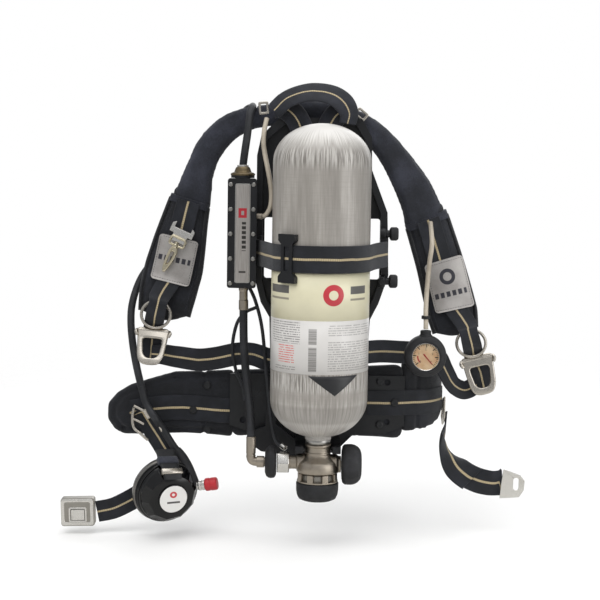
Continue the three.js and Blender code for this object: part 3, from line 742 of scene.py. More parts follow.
def label_mark(made, arc, z, pattern, arcs, heights):
    """Where a mark's ink lies: a block, rows of word-like dashes, bars, or a ring."""
    where = arc.inside(*arcs) * z.inside(*heights)
    if pattern == "lines":
        pitch = 3.3
        row = z.math("DIVIDE", pitch).math("FLOOR")
        inked = z.math("ABSOLUTE").math("MODULO", pitch).inside(0.8, 2.2, 0.3)
        words = made.noise(made.add("CombineXYZ", {0: arc * 0.5, 1: row * 7.7}), 1.0, 1)
        return where * (inked * words.between(0.4, 0.46))
    if pattern == "bars":
        bars = made.noise(made.add("CombineXYZ", {0: z * 0.9}), 1.0, 1)
        return where * bars.between(0.4, 0.5, 1.0, 0.55)
    if pattern == "ring":
        size = (arcs[1] - arcs[0]) / 2
        return (arc - sum(arcs) / 2).far(z - sum(heights) / 2).inside(size * 0.45, size, 0.3)
    return where


def printed(name, paper, marks):
    """A label round the barrel. Marks are (pattern, ink, arc range, height range, share of ink)."""
    made = Finish(name, paper, 0.34, slot="composite", Coat_Weight=0.3, Coat_Roughness=0.2)
    arc, z = round_barrel(made)
    tone = made.mix(made.patchy(0.02, 4).between(0.3, 0.8), paper, colour(paper, 0.9))
    for pattern, ink, arcs, heights, share in marks:
        tone = made.mix(label_mark(made, arc, z, pattern, arcs, heights) * share, tone, ink)
    return made.base(tone)


def barrel_point(arc, z, lift):
    """A point so far round the barrel from its front, lifted off its surface."""
    angle = arc / CYLINDER_RADIUS
    radius = CYLINDER_RADIUS + lift
    return Vector((radius * math.sin(angle), AXIS_Y - radius * math.cos(angle), z))


def barrel_label(name, rows, finish, lift=0.15, columns=40):
    """A thin sheet on the barrel, from rows of (left arc, right arc, height)."""
    points = [barrel_point(left + (right - left) * i / columns, z, lift)
              for left, right, z in rows for i in range(columns + 1)]
    count = columns + 1
    faces = [(a, a + 1, a + 1 + count, a + count)
             for row in range(len(rows) - 1) for a in range(row * count, row * count + columns)]
    made = piece(name, make_mesh(name, points, faces, outward=False), finish)
    sheet = made.modifiers.new("film", "SOLIDIFY")
    sheet.thickness = 0.2 * MM
    sheet.offset = 0


def labels():
    """The cream label, the data label and a dark triangle pointing down, with plain marks only."""
    dark, faint, grey = "#55534f", "#8a8474", "#4c4845"
    cream = printed("cream_label", "#d6d0b2", [
        ("ring", "#b5303a", (3, 33), (-30, 0), 1.0),
        ("block", dark, (44, 76), (-14, -3), 1.0), ("block", faint, (44, 76), (-23, -20), 1.0),
        ("block", dark, (-92, -48), (-14, -3), 1.0), ("block", faint, (-92, -48), (-23, -20), 1.0),
    ])
    pale = printed("data_label", "#cdcac6", [
        ("lines", "#6c6966", (-86, -29), (-84, -53), 0.85), ("lines", "#c9504a", (-68, -38), (-112, -86), 0.9),
        ("bars", grey, (-16.5, -5), (-84, -62), 0.9), ("bars", grey, (-16.5, -5), (-122, -88), 0.9),
        ("lines", "#8b8885", (11, 92), (-73, -55), 0.75), ("lines", "#8b8885", (11, 92), (-121, -79), 0.8),
        ("lines", "#77746f", (-76, -36), (-123, -116), 0.8),
    ])
    behind = math.pi * CYLINDER_RADIUS - 1
    barrel_label("label_cream", [(-behind, behind, z) for z in (-51, -17, 17)], cream, columns=120)
    barrel_label("label_data", [(-behind, behind, z) for z in (-126, -88, -51)], pale, columns=120)
    triangle = [(-16.5 + 38 * t, 60 - 38.5 * t, -128 - 28 * t) for t in (0, 0.2, 0.4, 0.6, 0.8, 0.995)]
    barrel_label("label_triangle", triangle, DARK_LABEL, lift=0.3)


lathe("cylinder_overwrap", [
    (15.7, wrap_low.z), (18.8, wrap_low.z), *ellipse_arc(-170, 70, 56.3, -74.4, 0, 22),
    (70, -100), (70, 0), (70, 100), *ellipse_arc(wrap_high.z - 55, 70, 55, 0, 89.6, 24),
], BARE, UP, resin_wrap(), segments=128, sharp=60, node="cylinder_wrap")
labels()

# ------------------------------------------------------------------ valve
wheel_low, _, wheel_at = cad_box("handwheel")
WHEEL = Vector((0, AXIS_Y, wheel_at.z))


def round_drum(turn, radius, z):
    """Where a plate stands round the valve's foot, facing outwards."""
    out = Vector((math.sin(math.radians(turn)), -math.cos(math.radians(turn)), 0))
    return facing_plate(Vector((0, AXIS_Y, z)) + out * radius, out)


def valve():
    """Neck, shouldered body, outlet and wheel boss, with guard posts in pairs round the drum gauge."""
    shown = [
        lathe("neck", [(10, -252), (18.6, -252), (18.6, -248), (17.4, -247.4), (17.4, -240), (18.8, -239.4),
                       (18.8, -236.4), (10, -236.4)], BARE, UP, FORGED, rounding=0.8),
        lathe("bell", [(0, -279.4), (24, -279.4), (29.8, -277), (31, -274), (31, -268), (29, -262),
                       (23, -257), (19, -253), (17.6, -249), (0, -249)], BARE, UP, FORGED, rounding=2.5),
        lathe("outlet", [(0, -44), (9.6, -44), (9.6, -31), (13, -29), (13, -10), (0, -10)],
              WHEEL + UP * 2, RIGHT, FORGED, rounding=0.8),
        lathe("boss", [(0, 8), (14.5, 8), (14.5, 27), (12, 30), (12, 33.6), (0, 33.6)],
              WHEEL, RIGHT, FORGED, rounding=0.8),
        lathe("flange", [(24.2, -291), (29.6, -291), (29.6, -288.8), (24.2, -288.8)],
              BARE, UP, FORGED, hollow=True, rounding=0.5),
    ]
    shown += [plate("post", rounded_rect(9, 11.5, 1.2), 4.6, round_drum(45 * k + 22.5, 26.9, -284), FORGED)
              for k in range(8)]
    together("valve_forging", shown, "valve_body")


def drum_and_foot():
    """The ribbed gauge drum behind the guard posts, and the rubber foot under it."""
    lathe("drum_gauge", [(0, -291), (23.4, -291), (23.4, -280), (0, -280)], BARE, UP, DRUM,
          rounding=0.6, node="cylinder_gauge")
    together("drum_ribs", [
        plate("rib", rounded_rect(1.5, 9, 0.6), 1.2, round_drum(11.25 * k, 23.6, -285.4), DRUM, edge=0.3)
        for k in range(32)])
    foot = [(0, -318), (22, -318), (27, -315.6), (29.6, -310), (30.6, -303), (30.6, -292.4), (28, -291.4),
            (24, -291.2), (0, -291.2)]
    lathe("valve_foot", foot, BARE, UP, RUBBER, rounding=1.0, node="valve_bumper")


def handwheel():
    """Rubber wheel with shallow grips round its rim, and the spindle it turns."""
    rim = [(5.3, 0), (20, 0), (26.5, 1.4), (29, 4.5), (29.4, 9), (29.4, 14), (28.4, 19), (25.5, 24), (21, 27.4),
           (16, 28.8), (10, 29), (0, 29)]
    foot = Vector((wheel_low.x, WHEEL.y, WHEEL.z))
    wheel = lathe("wheel_rubber", rim, foot, RIGHT, RUBBER, rounding=1.4, segments=96, node="handwheel")
    for vertex in wheel.data.vertices:
        across = vertex.co.yz - WHEEL.yz * MM
        if across.length > 24 * MM:
            grip = 1 - 0.035 * (0.5 + 0.5 * math.cos(8 * math.atan2(across.y, across.x))) ** 3
            vertex.co.yz = WHEEL.yz * MM + across * grip
    lathe("valve_spindle", [(0, 7), (5, 7), (5, 46), (0, 46)], WHEEL, RIGHT, NICKEL,
          rounding=0.5, node="valve_stem")


valve()
drum_and_foot()
handwheel()

# ------------------------------------------------------------------ coupling and elbow
COUPLING = Vector((0, AXIS_Y, cad_box("coupling_ring")[2].z))
ELBOW = Vector((cad_box("pressure_elbow")[0].x + 6.6, AXIS_Y, COUPLING.z))


def coupling():
    """Swivel nut on the valve's outlet thread, and the rubber hand wheel behind it."""
    nut = plate("nut", soften(ring_of(6, 16.4), 2.5), 17.6, facing_plate(COUPLING - RIGHT * 50, -RIGHT), NICKEL,
                holes=[ring_of(40, 9.9)], edge=1.4)
    collar = lathe("collar", [(10, -44.5), (12.2, -44.5), (12.2, -41), (10, -41)], COUPLING, RIGHT, NICKEL,
                   hollow=True, rounding=0.4)
    together("swivel_nut", [nut, collar], "coupling_nut")
    crests = [(9.0 + 0.7 * (i % 2), -43.4 + 0.7 * i) for i in range(18)]
    lathe("outlet_thread", [(0, -43.6), *crests, (0, -30.8)], COUPLING, RIGHT, FORGED, sharp=20)
    lathe("coupling_wheel", [(7.6, -76), (15, -76), (20.5, -74), (23, -70.5), (23.5, -67), (22.6, -62),
                             (18, -59.6), (7.6, -59.6)], COUPLING, RIGHT, RUBBER,
          hollow=True, rounding=1.2, node="coupling_ring")


def elbow():
    """A bent pipe between a collar at the coupling and a sleeve on the hose."""
    bend = soften([(-70, AXIS_Y, ELBOW.z), ELBOW, ELBOW + UP * 14], 9, 8, closed=False)
    sleeve = [(0, 6), (6.9, 6), (6.9, 9), (6.5, 9.6), (6.5, 12), (7, 12.6), (7, 36), (6.2, 36.8), (0, 36.8)]
    together("elbow_fitting", [
        tube("bend", bend, 6.4, FORGED, sides=28),
        lathe("sleeve", sleeve, ELBOW, UP, FORGED, rounding=0.5),
        lathe("collar", [(0, -88), (8.4, -88), (8.4, -77), (0, -77)], COUPLING, RIGHT, FORGED, rounding=0.8),
    ], "pressure_elbow")


coupling()
elbow()

# ------------------------------------------------------------------ reducer
cover_low, cover_high, cover_at = cad_box("reducer_cover")


def nameplate_finish():
    """Brushed plate with a red square, a bar of dashes and a short dark mark."""
    made = Finish("nameplate", "#a09b96", 0.36, 0.4, slot="frame_plastic")
    x, _, z = made.xyz()
    x = x - (cover_at.x + 1)
    grain = made.noise(made.place((1, 1, 0.03)), 1.2, 3)
    tone = made.mix(grain.between(0.3, 0.7), "#a7a29d", "#938e89")
    square = x.inside(-6, 6) * z.inside(86, 100) - x.inside(-2, 2) * z.inside(90, 96)
    tone = made.mix(square, tone, "#b3303a")
    dashes = x.inside(-1, 5) * z.inside(38, 80) * z.wave(7).between(-0.6, -0.3)
    tone = made.mix(dashes, tone, "#34322f")
    return made.base(made.mix(x.inside(-5, 5) * z.inside(6, 9), tone, "#4a4744"))


def reducer_dressing():
    """Ten screws, the framed name plate, and the cap fitting on top."""
    screw = [(1.6, 0), (3.2, 0), (3.2, 0.7), (2.4, 1.6), (1.7, 1.7), (1.5, 0.6), (0, 0.6)]
    pitch = (cover_high.z - cover_low.z - 16) / 4
    together("reducer_screws", [
        lathe("screw", screw, (x, cover_low.y, cover_low.z + 7 + k * pitch), TO_VIEWER, ALLOY, segments=20)
        for x in (cover_at.x - 16.5, cover_at.x + 16.5) for k in range(5)])
    height = cover_high.z - cover_low.z - 18
    for name, width, grow, corner, thickness, proud, edge, finish in (
        ("reducer_nameplate", 19.5, 0, 2.2, 0.8, 0.3, 0.25, nameplate_finish()),
        ("nameplate_bezel", 22.5, 3, 3.2, 0.7, 0.1, 0.3, ALLOY),
    ):
        at = facing_plate((cover_at.x + 1, cover_low.y - proud, cover_at.z))
        plate(name, rounded_rect(width, height + grow, corner), thickness, at, finish, edge=edge)
    cap_at = (cover_at.x, -44, cover_high.z)
    lathe("reducer_cap", [(0, 4), (17.6, 4), (17.8, 6.4), (15, 8), (12.6, 8.8), (11.4, 12), (10.2, 15),
                          (7.4, 17.4), (0, 18)], cap_at, UP, CAP, rounding=0.6)
    lathe("reducer_cap_rim", [(5.6, 16.6), (8.2, 16.6), (8.2, 19), (5.6, 19.4)], cap_at, UP, NICKEL,
          hollow=True, rounding=0.4)


def piston_spring():
    """The spring over the reducer's piston, with a mesh of its own."""
    mesh = make_mesh("piston_spring", *node_shape("reducer_spring"))
    spring = piece("piston_spring", mesh, SPRING, node="reducer_spring")
    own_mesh(spring)


reducer_dressing()
piston_spring()

# ------------------------------------------------------------------ hoses and lines
def feed_hose():
    """High-pressure hose from the elbow up to the reducer, with its ferrule."""
    spine = spine_of_tube("pressure_hose")
    tube("feed_hose", catmull(spine, 4), 6.0, HOSE, node="pressure_hose")
    ferrule = [(0, -34), (6.6, -34), (7, -33), (7, -20), (6.2, -19), (6.2, -6), (7, -5), (7, 0), (0, 0)]
    lathe("feed_ferrule", ferrule, spine[0] + UP, spine[0] - spine[2], FORGED, rounding=0.6)


def air_hose():
    """Breathing hose: over the left pad, in whose dent it lies, and down to the regulator."""
    crest = 243.0                       # the hose is pressed down above this height
    upper = [Vector((c.x, c.y, min(c.z, crest + 0.35 * (c.z - crest))))
             for c in spine_of_tube("air_hose_upper")]
    lower = [centre for centre in spine_of_tube("air_hose_lower") if centre.z > -214]
    lower += [Vector(row) for row in ((-231, -26, -230), (-216, -32, -252), (-206.5, -34, -264.5))]
    shoulder = tube("air_hose_shoulder", catmull(upper, 4), AIR_HOSE_RADIUS, HOSE,
                    node="air_hose_upper", body=FREE)
    belt = tube("air_hose_belt", catmull([upper[-1], *lower], 4), AIR_HOSE_RADIUS, HOSE,
                node="air_hose_lower", body=FREE)
    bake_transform(shoulder)
    lower[0] * MM
    lower[3] * MM
    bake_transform(belt)
    return catmull(upper, 4)


def gauge_line():
    """Thin armoured line over the yoke and, from the right pad's flap, down to the gauge."""
    top = spine_of_tube("gauge_line_upper")
    tube("gauge_line_yoke", catmull(top, 4), GAUGE_LINE_RADIUS, LINE, node="gauge_line_upper")
    low = [Vector((164, 10, 80))] + [c for c in spine_of_tube("gauge_line_lower") if c.z < 70]
    chest = tube("gauge_line_chest", catmull(low, 4), GAUGE_LINE_RADIUS, LINE,
                 node="gauge_line_lower", body=FREE)
    low[-6] * MM
    low[-2] * MM
    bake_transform(chest)
    tie_at = min(low, key=lambda centre: abs(centre.z + 60))
    lathe("line_tie", [(3.2, -2.4), (6.4, -2.4), (6.4, 2.4), (3.2, 2.4)], tie_at, UP, RUBBER,
          hollow=True, rounding=0.8, segments=32, body=body_of("gauge_case"))
    lathe("line_ferrule", [(0, 0), (4.6, 0), (4.6, 9), (3.8, 10), (0, 10)], top[-1], top[-2] - top[-1],
          FORGED, rounding=0.5)


def thin_lines():
    """The sensor's cable and a small pressure tube, between the reducer and the valve."""
    union = (-47, -84, -246)
    cable = path((-90, -30, -46), (-98, -30, -49), (-110, -22, -56), (-122, -22, -73), (-128, -22, -108),
                 (-122, -24, -143), (-112, -30, -165), (-108, -34, -185))
    pipe = path((-104, -28, -17), (-94, -25, -40), (-84, -25, -81), (-76, -30, -155), (-68, -52, -215),
                (-60, -70, -240), union)
    tube("sensor_cable", cable, 2.6, HOSE, sides=10)
    tube("pressure_tube", pipe, 2.6, HOSE, sides=10)
    lathe("tube_union", [(0, 0), (4.2, 0), (4.2, 8), (0, 8)], union, (-1, 0.9, 0.5), NICKEL, rounding=0.5)


feed_hose()
AIR_HOSE = air_hose()
gauge_line()
thin_lines()

# ------------------------------------------------------------------ soft goods
def apply_modifiers(made):
    """Replaces a piece's mesh by what its modifiers make of it."""
    graph = bpy.context.evaluated_depsgraph_get()
    mesh = bpy.data.meshes.new_from_object(made.evaluated_get(graph))
    made.modifiers.clear()
    made.data = mesh


def remeshed(made):
    """An even, slightly smoothed mesh that a cloth simulation can work on."""
    grid = made.modifiers.new("voxels", "REMESH")
    grid.mode = "VOXEL"
    grid.voxel_size = 4.0 * MM
    smooth = made.modifiers.new("soften", "SMOOTH")
    smooth.factor = 0.5
    smooth.iterations = 2
    apply_modifiers(made)


def puff(made, cap):
    """Inflates a padded piece with a cloth simulation; no point moves further than cap."""
    rest = [v.co.copy() for v in made.data.vertices]
    soft = made.modifiers.new("stuffing", "CLOTH").settings
    soft.use_pressure = True
    soft.uniform_pressure_force = 4.0
    soft.effector_weights.gravity = 0
    soft.mass = 0.2
    soft.tension_stiffness = 12
    soft.compression_stiffness = 12
    soft.bending_stiffness = 0.3
    for step in range(1, 21):
        bpy.context.scene.frame_set(step)
    apply_modifiers(made)
    bpy.context.scene.frame_set(1)
    for vertex, start in zip(made.data.vertices, rest):
        move = vertex.co - start
        if move.length > cap * MM:
            vertex.co = start + move.normalized() * cap * MM


def stuffed(name, shape, finish, cap, node=None, body="root", seams=(), depth=2.0):
    """A closed shape turned into a padded, simulated piece, then sewn through along its seams."""
    made = piece(name, make_mesh(name, *shape), finish, body=FREE)
    remeshed(made)
    puff(made, cap)
    made.modifiers.new("fine", "SUBSURF").levels = 1
    apply_modifiers(made)
    made.data.polygons.foreach_set("use_smooth", [True] * len(made.data.polygons))
    for seam in seams:
        sew(made, [Vector(point) for point in seam], depth)
    settle(made, node, body)
    return made


def near_line(point, line):
    """Distance from a point to a polyline."""
    nearest = []
    for a, b in zip(line, line[1:]):
        along = b - a
        share = max(0.0, min(1.0, (point - a).dot(along) / along.length_squared))
        nearest.append((point - a - along * share).length)
    return min(nearest)


def sew(made, line, depth):
    """Pulls both faces of a pad in along a seam drawn in X and Z."""
    reach = 5.0
    made.data.update()
    for vertex in made.data.vertices:
        away = near_line(vertex.co.xz / MM, line)
        if away < reach:
            vertex.co -= vertex.normal * depth * MM * (1 - (away / reach) ** 2) ** 2


def dent(made, line, reach):
    """Presses a padded piece down where a hose lies on it."""
    for vertex in made.data.vertices:
        place = vertex.co / MM
        near = min(line, key=lambda point: (point - place).length_squared)
        if (place - near).length < reach:
            away = place - near
            away.z = -abs(away.z) - 0.5
            vertex.co = (near + away.normalized() * reach) * MM


def surface_of(*shown):
    """Search trees over the pieces that something is laid on."""
    graph = bpy.context.evaluated_depsgraph_get()
    return [BVHTree.FromObject(made, graph) for made in shown]


def drop(trees, point, direction, lift):
    """The surface met by looking along direction through point, or the nearest one, raised by lift."""
    direction = direction.normalized()
    start = (point - direction * 90) * MM
    hits = [tree.ray_cast(start, direction)[0] for tree in trees]
    hits = [hit for hit in hits if hit is not None]
    if hits:
        return min(hits, key=lambda hit: (hit - start).length) / MM - direction * lift
    found = [tree.find_nearest((point + direction * step) * MM) for tree in trees for step in range(0, 130, 10)]
    beside = min(found, key=lambda near: near[3])
    return beside[0] / MM + beside[1] * lift


def laid(spine, trees, lift, width=None):
    """A spine moved on to the surface in front of it and evened out; width sets a new full width."""
    rows = []
    for centre, half, out in spine:
        if width:
            half = half.normalized() * width / 2
        spots = [drop(trees, centre + half * u, -out, lift) for u in (-0.6, 0, 0.6)]
        highest = max(spots, key=lambda spot: spot.dot(out))
        rows.append([centre + out * (highest - centre).dot(out), half, out])
    for _ in range(3):
        centres = [row[0] for row in rows]
        for i in range(1, len(rows) - 1):
            rows[i][0] = centres[i] * 0.5 + (centres[i - 1] + centres[i + 1]) * 0.25
    return rows


def stitches(name, line):
    """A row of thread dashes along a line that already lies on a surface."""
    dash, gap, thread = 2.4, 1.4, 0.35
    lengths = [0.0]
    for a, b in zip(line, line[1:]):
        lengths.append(lengths[-1] + (b - a).length)

    def at(run):
        k = max(i for i, length in enumerate(lengths[:-1]) if length <= run + 1e-9)
        span = lengths[k + 1] - lengths[k]
        return line[k].lerp(line[k + 1], (run - lengths[k]) / span if span else 0)

    points, faces = [], []
    run = gap
    while run + dash < lengths[-1]:
        start, end = at(run), at(run + dash)
        along = (end - start).normalized()
        side = along.cross(TO_VIEWER).normalized()
        out = side.cross(along)
        rings = [[start.lerp(end, share) + side * c + out * s for c, s in ring_of(5, thread * size)]
                 for share, size in ((0, 0.3), (0.2, 1.0), (0.8, 1.0), (1, 0.3))]
        more, quads = skin(rings)
        faces += [tuple(i + len(points) for i in face) for face in quads]
        points += more
        run += dash + gap
    piece(name, make_mesh(name, points, faces, outward=False), THREAD)


def padded_rings(spine, thickness, grow, power=0.6, tip=0.0):
    """Rings of a soft rectangle on a spine; the last ones close in when tip is given."""
    rings = []
    total = len(spine)
    for i, (centre, half, out) in enumerate(spine):
        to_end = (total - 1 - i) / (total - 1)
        close = math.sqrt(max(0.05, 1 - (1 - to_end / tip) ** 2)) if tip and to_end < tip else 1.0
        across = half.normalized() * (half.length * close + grow)
        rings.append([centre + across * u + out * h * (thickness / 2 + grow)
                      for u, h in ring_of(24, power=power)])
    return rings

# ------------------------------------------------------------------ shoulder pads
def on_surface(rows, trees, sign, inset):
    """A line along one side of a pad, inset from its edge; sign is -1 or 1."""
    return [drop(trees, c + h * sign * (1 - inset / h.length), -o, 0.15) for c, h, o in rows]


def shoulder_pad(side, seam, bound):
    """A padded strap, sleeved above its seam, with all that is sewn on it; bound places its patch."""
    spine = spine_of_strip("shoulder_pad_" + side, PAD_THICKNESS)
    last = len(spine) - 1
    start = seam - 1.2                  # the body reaches up inside the sleeve
    below = [section_at(spine, start + i * (last - start) / 20) for i in range(21)]
    above = [section_at(spine, i * seam / 30) for i in range(31)]
    core_shape = skin(padded_rings(below, PAD_THICKNESS - 1, 0.3, 0.4, 0.05))
    sleeve_shape = skin(padded_rings(above, PAD_THICKNESS + 0.5, 0.4, 0.55))
    core = stuffed(f"pad_{side}_body", core_shape, PADDING, 2.0, node="shoulder_pad_" + side)
    sleeve = stuffed(f"pad_{side}_sleeve", sleeve_shape, SLEEVE, 3.0)
    if side == "left":
        dent(sleeve, AIR_HOSE, AIR_HOSE_RADIUS + 1)
    on_core, on_sleeve = surface_of(core), surface_of(sleeve)
    for edge, sign in (("outer", 1), ("inner", -1)):
        rim = [centre + half * 0.97 * sign for centre, half, _ in finer(below, 2)]
        # the binding tape's darker colour partly stands for painted shade along the pad's edge
        tube(f"pad_{side}_{edge}_tape", rim[4:-2], 3.6, BINDING_WITH_SHADE, flat=1.6, sides=12)
        stitches(f"pad_{side}_{edge}_stitch", on_surface(finer(below, 3)[6:-4], on_core, sign, 8))
        stitches(f"pad_{side}_{edge}_sleeve_stitch", on_surface(finer(above, 2)[4:-1], on_sleeve, sign, 6))
    hem(side, [section_at(spine, seam - 0.5 + 0.1 * i) for i in range(7)])
    ring = cad_box("strap_ring_" + side)[2]
    on_pad = laid([section_at(spine, seam - 0.3 + 0.5 * i) for i in range(14)], on_core, 1.5, 36)
    on_pad = [row for row in on_pad if row[0].z > ring.z + 34]
    webbing = strap(f"pad_{side}_webbing", on_pad + ring_loop(side, ring), WEBBING, node="pad_strap_" + side)
    patch(side, spine, surface_of(core, webbing), *bound)


def hem(side, rows):
    """The sleeve's doubled end, stitched twice across."""
    made = piece(f"pad_{side}_hem", make_mesh("hem", *skin(padded_rings(rows, PAD_THICKNESS + 3, 1.6))), SLEEVE)
    on_hem = surface_of(made)
    for row in (1, 5):
        centre, half, out = rows[row]
        across = [drop(on_hem, centre + half * u / 20, -out, 0.1) for u in range(-18, 19)]
        stitches(f"pad_{side}_hem_stitch_{row}", across)


def ring_loop(side, ring):
    """Webbing rows that leave the pad, pass over the D-ring's top and run down behind the buckle."""
    lean, reach = (-0.22, 14) if side == "left" else (0.28, 27)
    width = Vector((1, 0, lean)).normalized()
    rows = [[Vector((ring.x - lean * z, y, ring.z + z)), width * half, Vector((0, *facing)).normalized()]
            for z, y, half, facing in (
                (28, -7, 16, (-0.9, 0.5)), (21, -16.5, 14, (-0.9, 0.4)), (14, -17.6, 13.6, (-1, 0)),
                (8, -17.4, 14, (-1, 0)), (-4, -15, 14.5, (-1, -0.1)), (-13, -7.5, 14.5, (-0.8, -0.6)),
                (-24, 0, 14.5, (-0.9, -0.4)))]
    end, half, out = spine_of_strip("pad_strap_" + side)[-1]
    return rows + [[end, half, out], [end + Vector((lean * reach, 3, -reach)), half, out]]


def patch(side, spine, trees, top, bottom, aside, finish):
    """A flat patch with small round corners, sewn across the webbing of a pad."""
    count, corner = 30, 5
    first, last = index_at(spine, top), index_at(spine, bottom)
    shares = [0.5 - 0.5 * math.cos(math.pi * i / count) for i in range(count + 1)]
    rows = []
    for share in shares:
        centre, half, out = section_at(spine, first + (last - first) * share)
        half = half if half.x > 0 else -half
        rows.append([centre + half.normalized() * aside, half, out])
    rows = laid(rows, trees, 1.0, 60)
    for row, share in zip(rows, shares):
        from_end = min(share, 1 - share) * (top - bottom)
        if from_end < corner:
            inset = corner - math.sqrt(corner ** 2 - (corner - from_end) ** 2)
            row[1] = row[1] * (1 - inset / row[1].length)
    section = [(-1, 0.1), (-0.985, 0.5), (0, 0.5), (0.985, 0.5), (1, 0.1), (1, -0.5), (-1, -0.5)]
    loft(f"pad_{side}_patch", rows, section, finish)
    left, right = ([c + h * share + o * 0.6 for c, h, o in rows[4:-4]] for share in (-0.92, 0.92))
    stitches(f"pad_{side}_patch_stitch", left + right[::-1] + left[:1])


shoulder_pad("left", 16.7, (51.3, -17.2, 0, reflective_cloth("patch_left", -40, 30)))
shoulder_pad("right", 14.7, (22.6, -53.3, 4, reflective_cloth("patch_right", 26, 48)))

# ------------------------------------------------------------------ straps and yoke
def tucked(spine):
    """The left lower strap: behind the buckle at one end, carried on behind the cylinder at the other."""
    rows = sorted(spine, key=lambda row: row[0].x)
    rows = [[c + Vector((0, 4, 0)) if c.x < -222 else c, h, o] for c, h, o in rows]
    centre, half, out = rows[-1]
    return rows + [[centre + Vector((24, 5, -4)), half, out]]


def straps():
    """The flat straps that the CAD strips stand for, and the fold near the tongue's end."""
    for name in ("lower_strap_left", "lower_strap_right", "waist_strap_left", "buckle_strap", "cylinder_band"):
        rows = spine_of_strip(name)
        rows = tucked(rows) if name == "lower_strap_left" else rows
        strap(name + "_woven", rows, WEBBING, node=name)
    rows = spine_of_strip("waist_strap_right", facing=RIGHT)
    strap("waist_strap_right_woven", rows, WEBBING, node="waist_strap_right")
    fold = finer(rows, 2)
    fold = fold[int(len(fold) * 0.3):int(len(fold) * 0.72)]
    strap("waist_strap_fold", [[c + o * 2.6 - UP * 2, h * 1.06, o] for c, h, o in fold], WEBBING,
          body=body_of("waist_strap_right"))


def rolled(name, rows, thickness):
    """Webbing folded round a soft core."""
    section = [(u, h * thickness / 2) for u, h in ring_of(28, power=0.75)]
    loft(name + "_woven", finer(rows, 4), section, ROLLED, node=name)


def upright(x, y, z, half):
    """A section of a level strap that faces the viewer."""
    return [Vector((x, y, z)), UP * half, TO_VIEWER]


def yoke():
    """Two rolled webs, the carry handle, and a small dark pad and two strap links between them; the pad fills
    the handle's arch as painted shadow.
    """
    for side in ("left", "right"):
        rows = spine_of_strip("yoke_web_" + side, 8)
        rolled("yoke_web_" + side, [row for row in rows if -70 < row[0].x < 46], 10)
    rolled("carry_handle", spine_of_strip("carry_handle", 3), 5)
    # painted shadow: a dark padded piece that fills the inside of the handle's arch
    rows = [upright(x, 5, z, half) for x, z, half in
            ((-44, 241, 17), (-24, 241, 16), (-7, 240.5, 15.5), (12, 240, 16), (34, 237, 17))]
    stuffed("arch_shadow_pad", skin(padded_rings(finer(rows, 2), PAD_THICKNESS, 0.5, 0.5)), SLEEVE, 2.0)
    for side, at, (width, height), roll in (("left", (-86, -22.5, 245), (15, 19), 0.1),
                                            ("right", (57, -12, 238), (19, 14), -0.7)):
        plate("yoke_link_" + side, rounded_rect(width, height, 3), 3.2, facing_plate(at, (0, -1, 0.1), roll),
              CHROME, holes=[rounded_rect(width - 7, height - 7, 1.5)], edge=1.0)


straps()
yoke()

# ------------------------------------------------------------------ waist belt
lumbar_low, lumbar_high, _ = cad_box("lumbar_pad")
BELT_FRONT = lumbar_low.y
CURL = 46                               # radius that the right wing curls back round


def raised_right(point):
    """The lumbar pad stands higher towards its right end."""
    if point.z > -195:
        point.z += 11 * max(0, min(1, (point.x - 40) / 50))
    return point


def reaching_in(point):
    """The left wing starts inside the lumbar pad's end."""
    point.x += 11 if point.x > -137 else 0
    return point


def raised_wing(point):
    """The right wing starts inside the lumbar pad's end, as high as it; its lower edge rises outwards."""
    outward = max(0, min(1, (point.y - BELT_FRONT) / 60))
    point.z += 11 if point.z > -190 else 4 + 10 * outward
    point.x -= 10 if point.x < 136 else 0
    return point


def bend(made, body, hinge, inner, outer):
    """Belt cloth, its placement baked into its mesh; two places at distances from a wing's hinge are worked
    out, but nothing bends.
    """
    start, end = (Vector((hinge + x, 0, -195)) * MM for x in (inner, outer))
    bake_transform(made)


def rivets(places, surface, body):
    """Domed plastic rivet heads at (x, z) places on a surface."""
    head = [(0, 0), (6, 0), (6, 0.8), (5.2, 1.8), (3.2, 2.4), (2.6, 2.1), (0, 2.1)]
    for x, z in places:
        at = drop(surface, Vector((x, 0, z)), -TO_VIEWER, 0.2)
        lathe(f"rivet_{int(abs(x))}_{int(-z)}", head, at, TO_VIEWER, PLASTIC, rounding=0.3, segments=32,
              body=body)


def left_wing(lumbar):
    """The flat left wing, quilted round its edge, with its webbing and rivets."""
    seams = [[(-171, -140), (-171, -172)], [(-171, -222), (-171, -250)],
             [(-215, -157), (-262, -172), (-292, -186), (-305, -203), (-305, -219), (-292, -236)],
             [(-215, -157), (-140, -154)], [(-292, -236), (-140, -236)]]
    wing = stuffed("belt_wing_left", node_shape("belt_pad_left", reaching_in), PADDING, 2.5,
                   node="belt_pad_left", body=FREE, seams=seams, depth=2.2)
    rows = [upright(x, BELT_FRONT, z, 19) for x, z in
            ((-131, -207), (-150, -206), (-172, -204), (-195, -202.5), (-222, -203), (-252, -206),
             (-282, -212))]
    belt = strap("belt_webbing_left", laid(finer(rows, 3), surface_of(wing, lumbar), 1.4), WEBBING, body=FREE)
    for made in (wing, belt):
        bend(made, "belt_left", lumbar_low.x, 4, -14)
    rivets(((-166, -168.5), (-166, -235.5), (-187, -206)), surface_of(wing, belt), "belt_left")


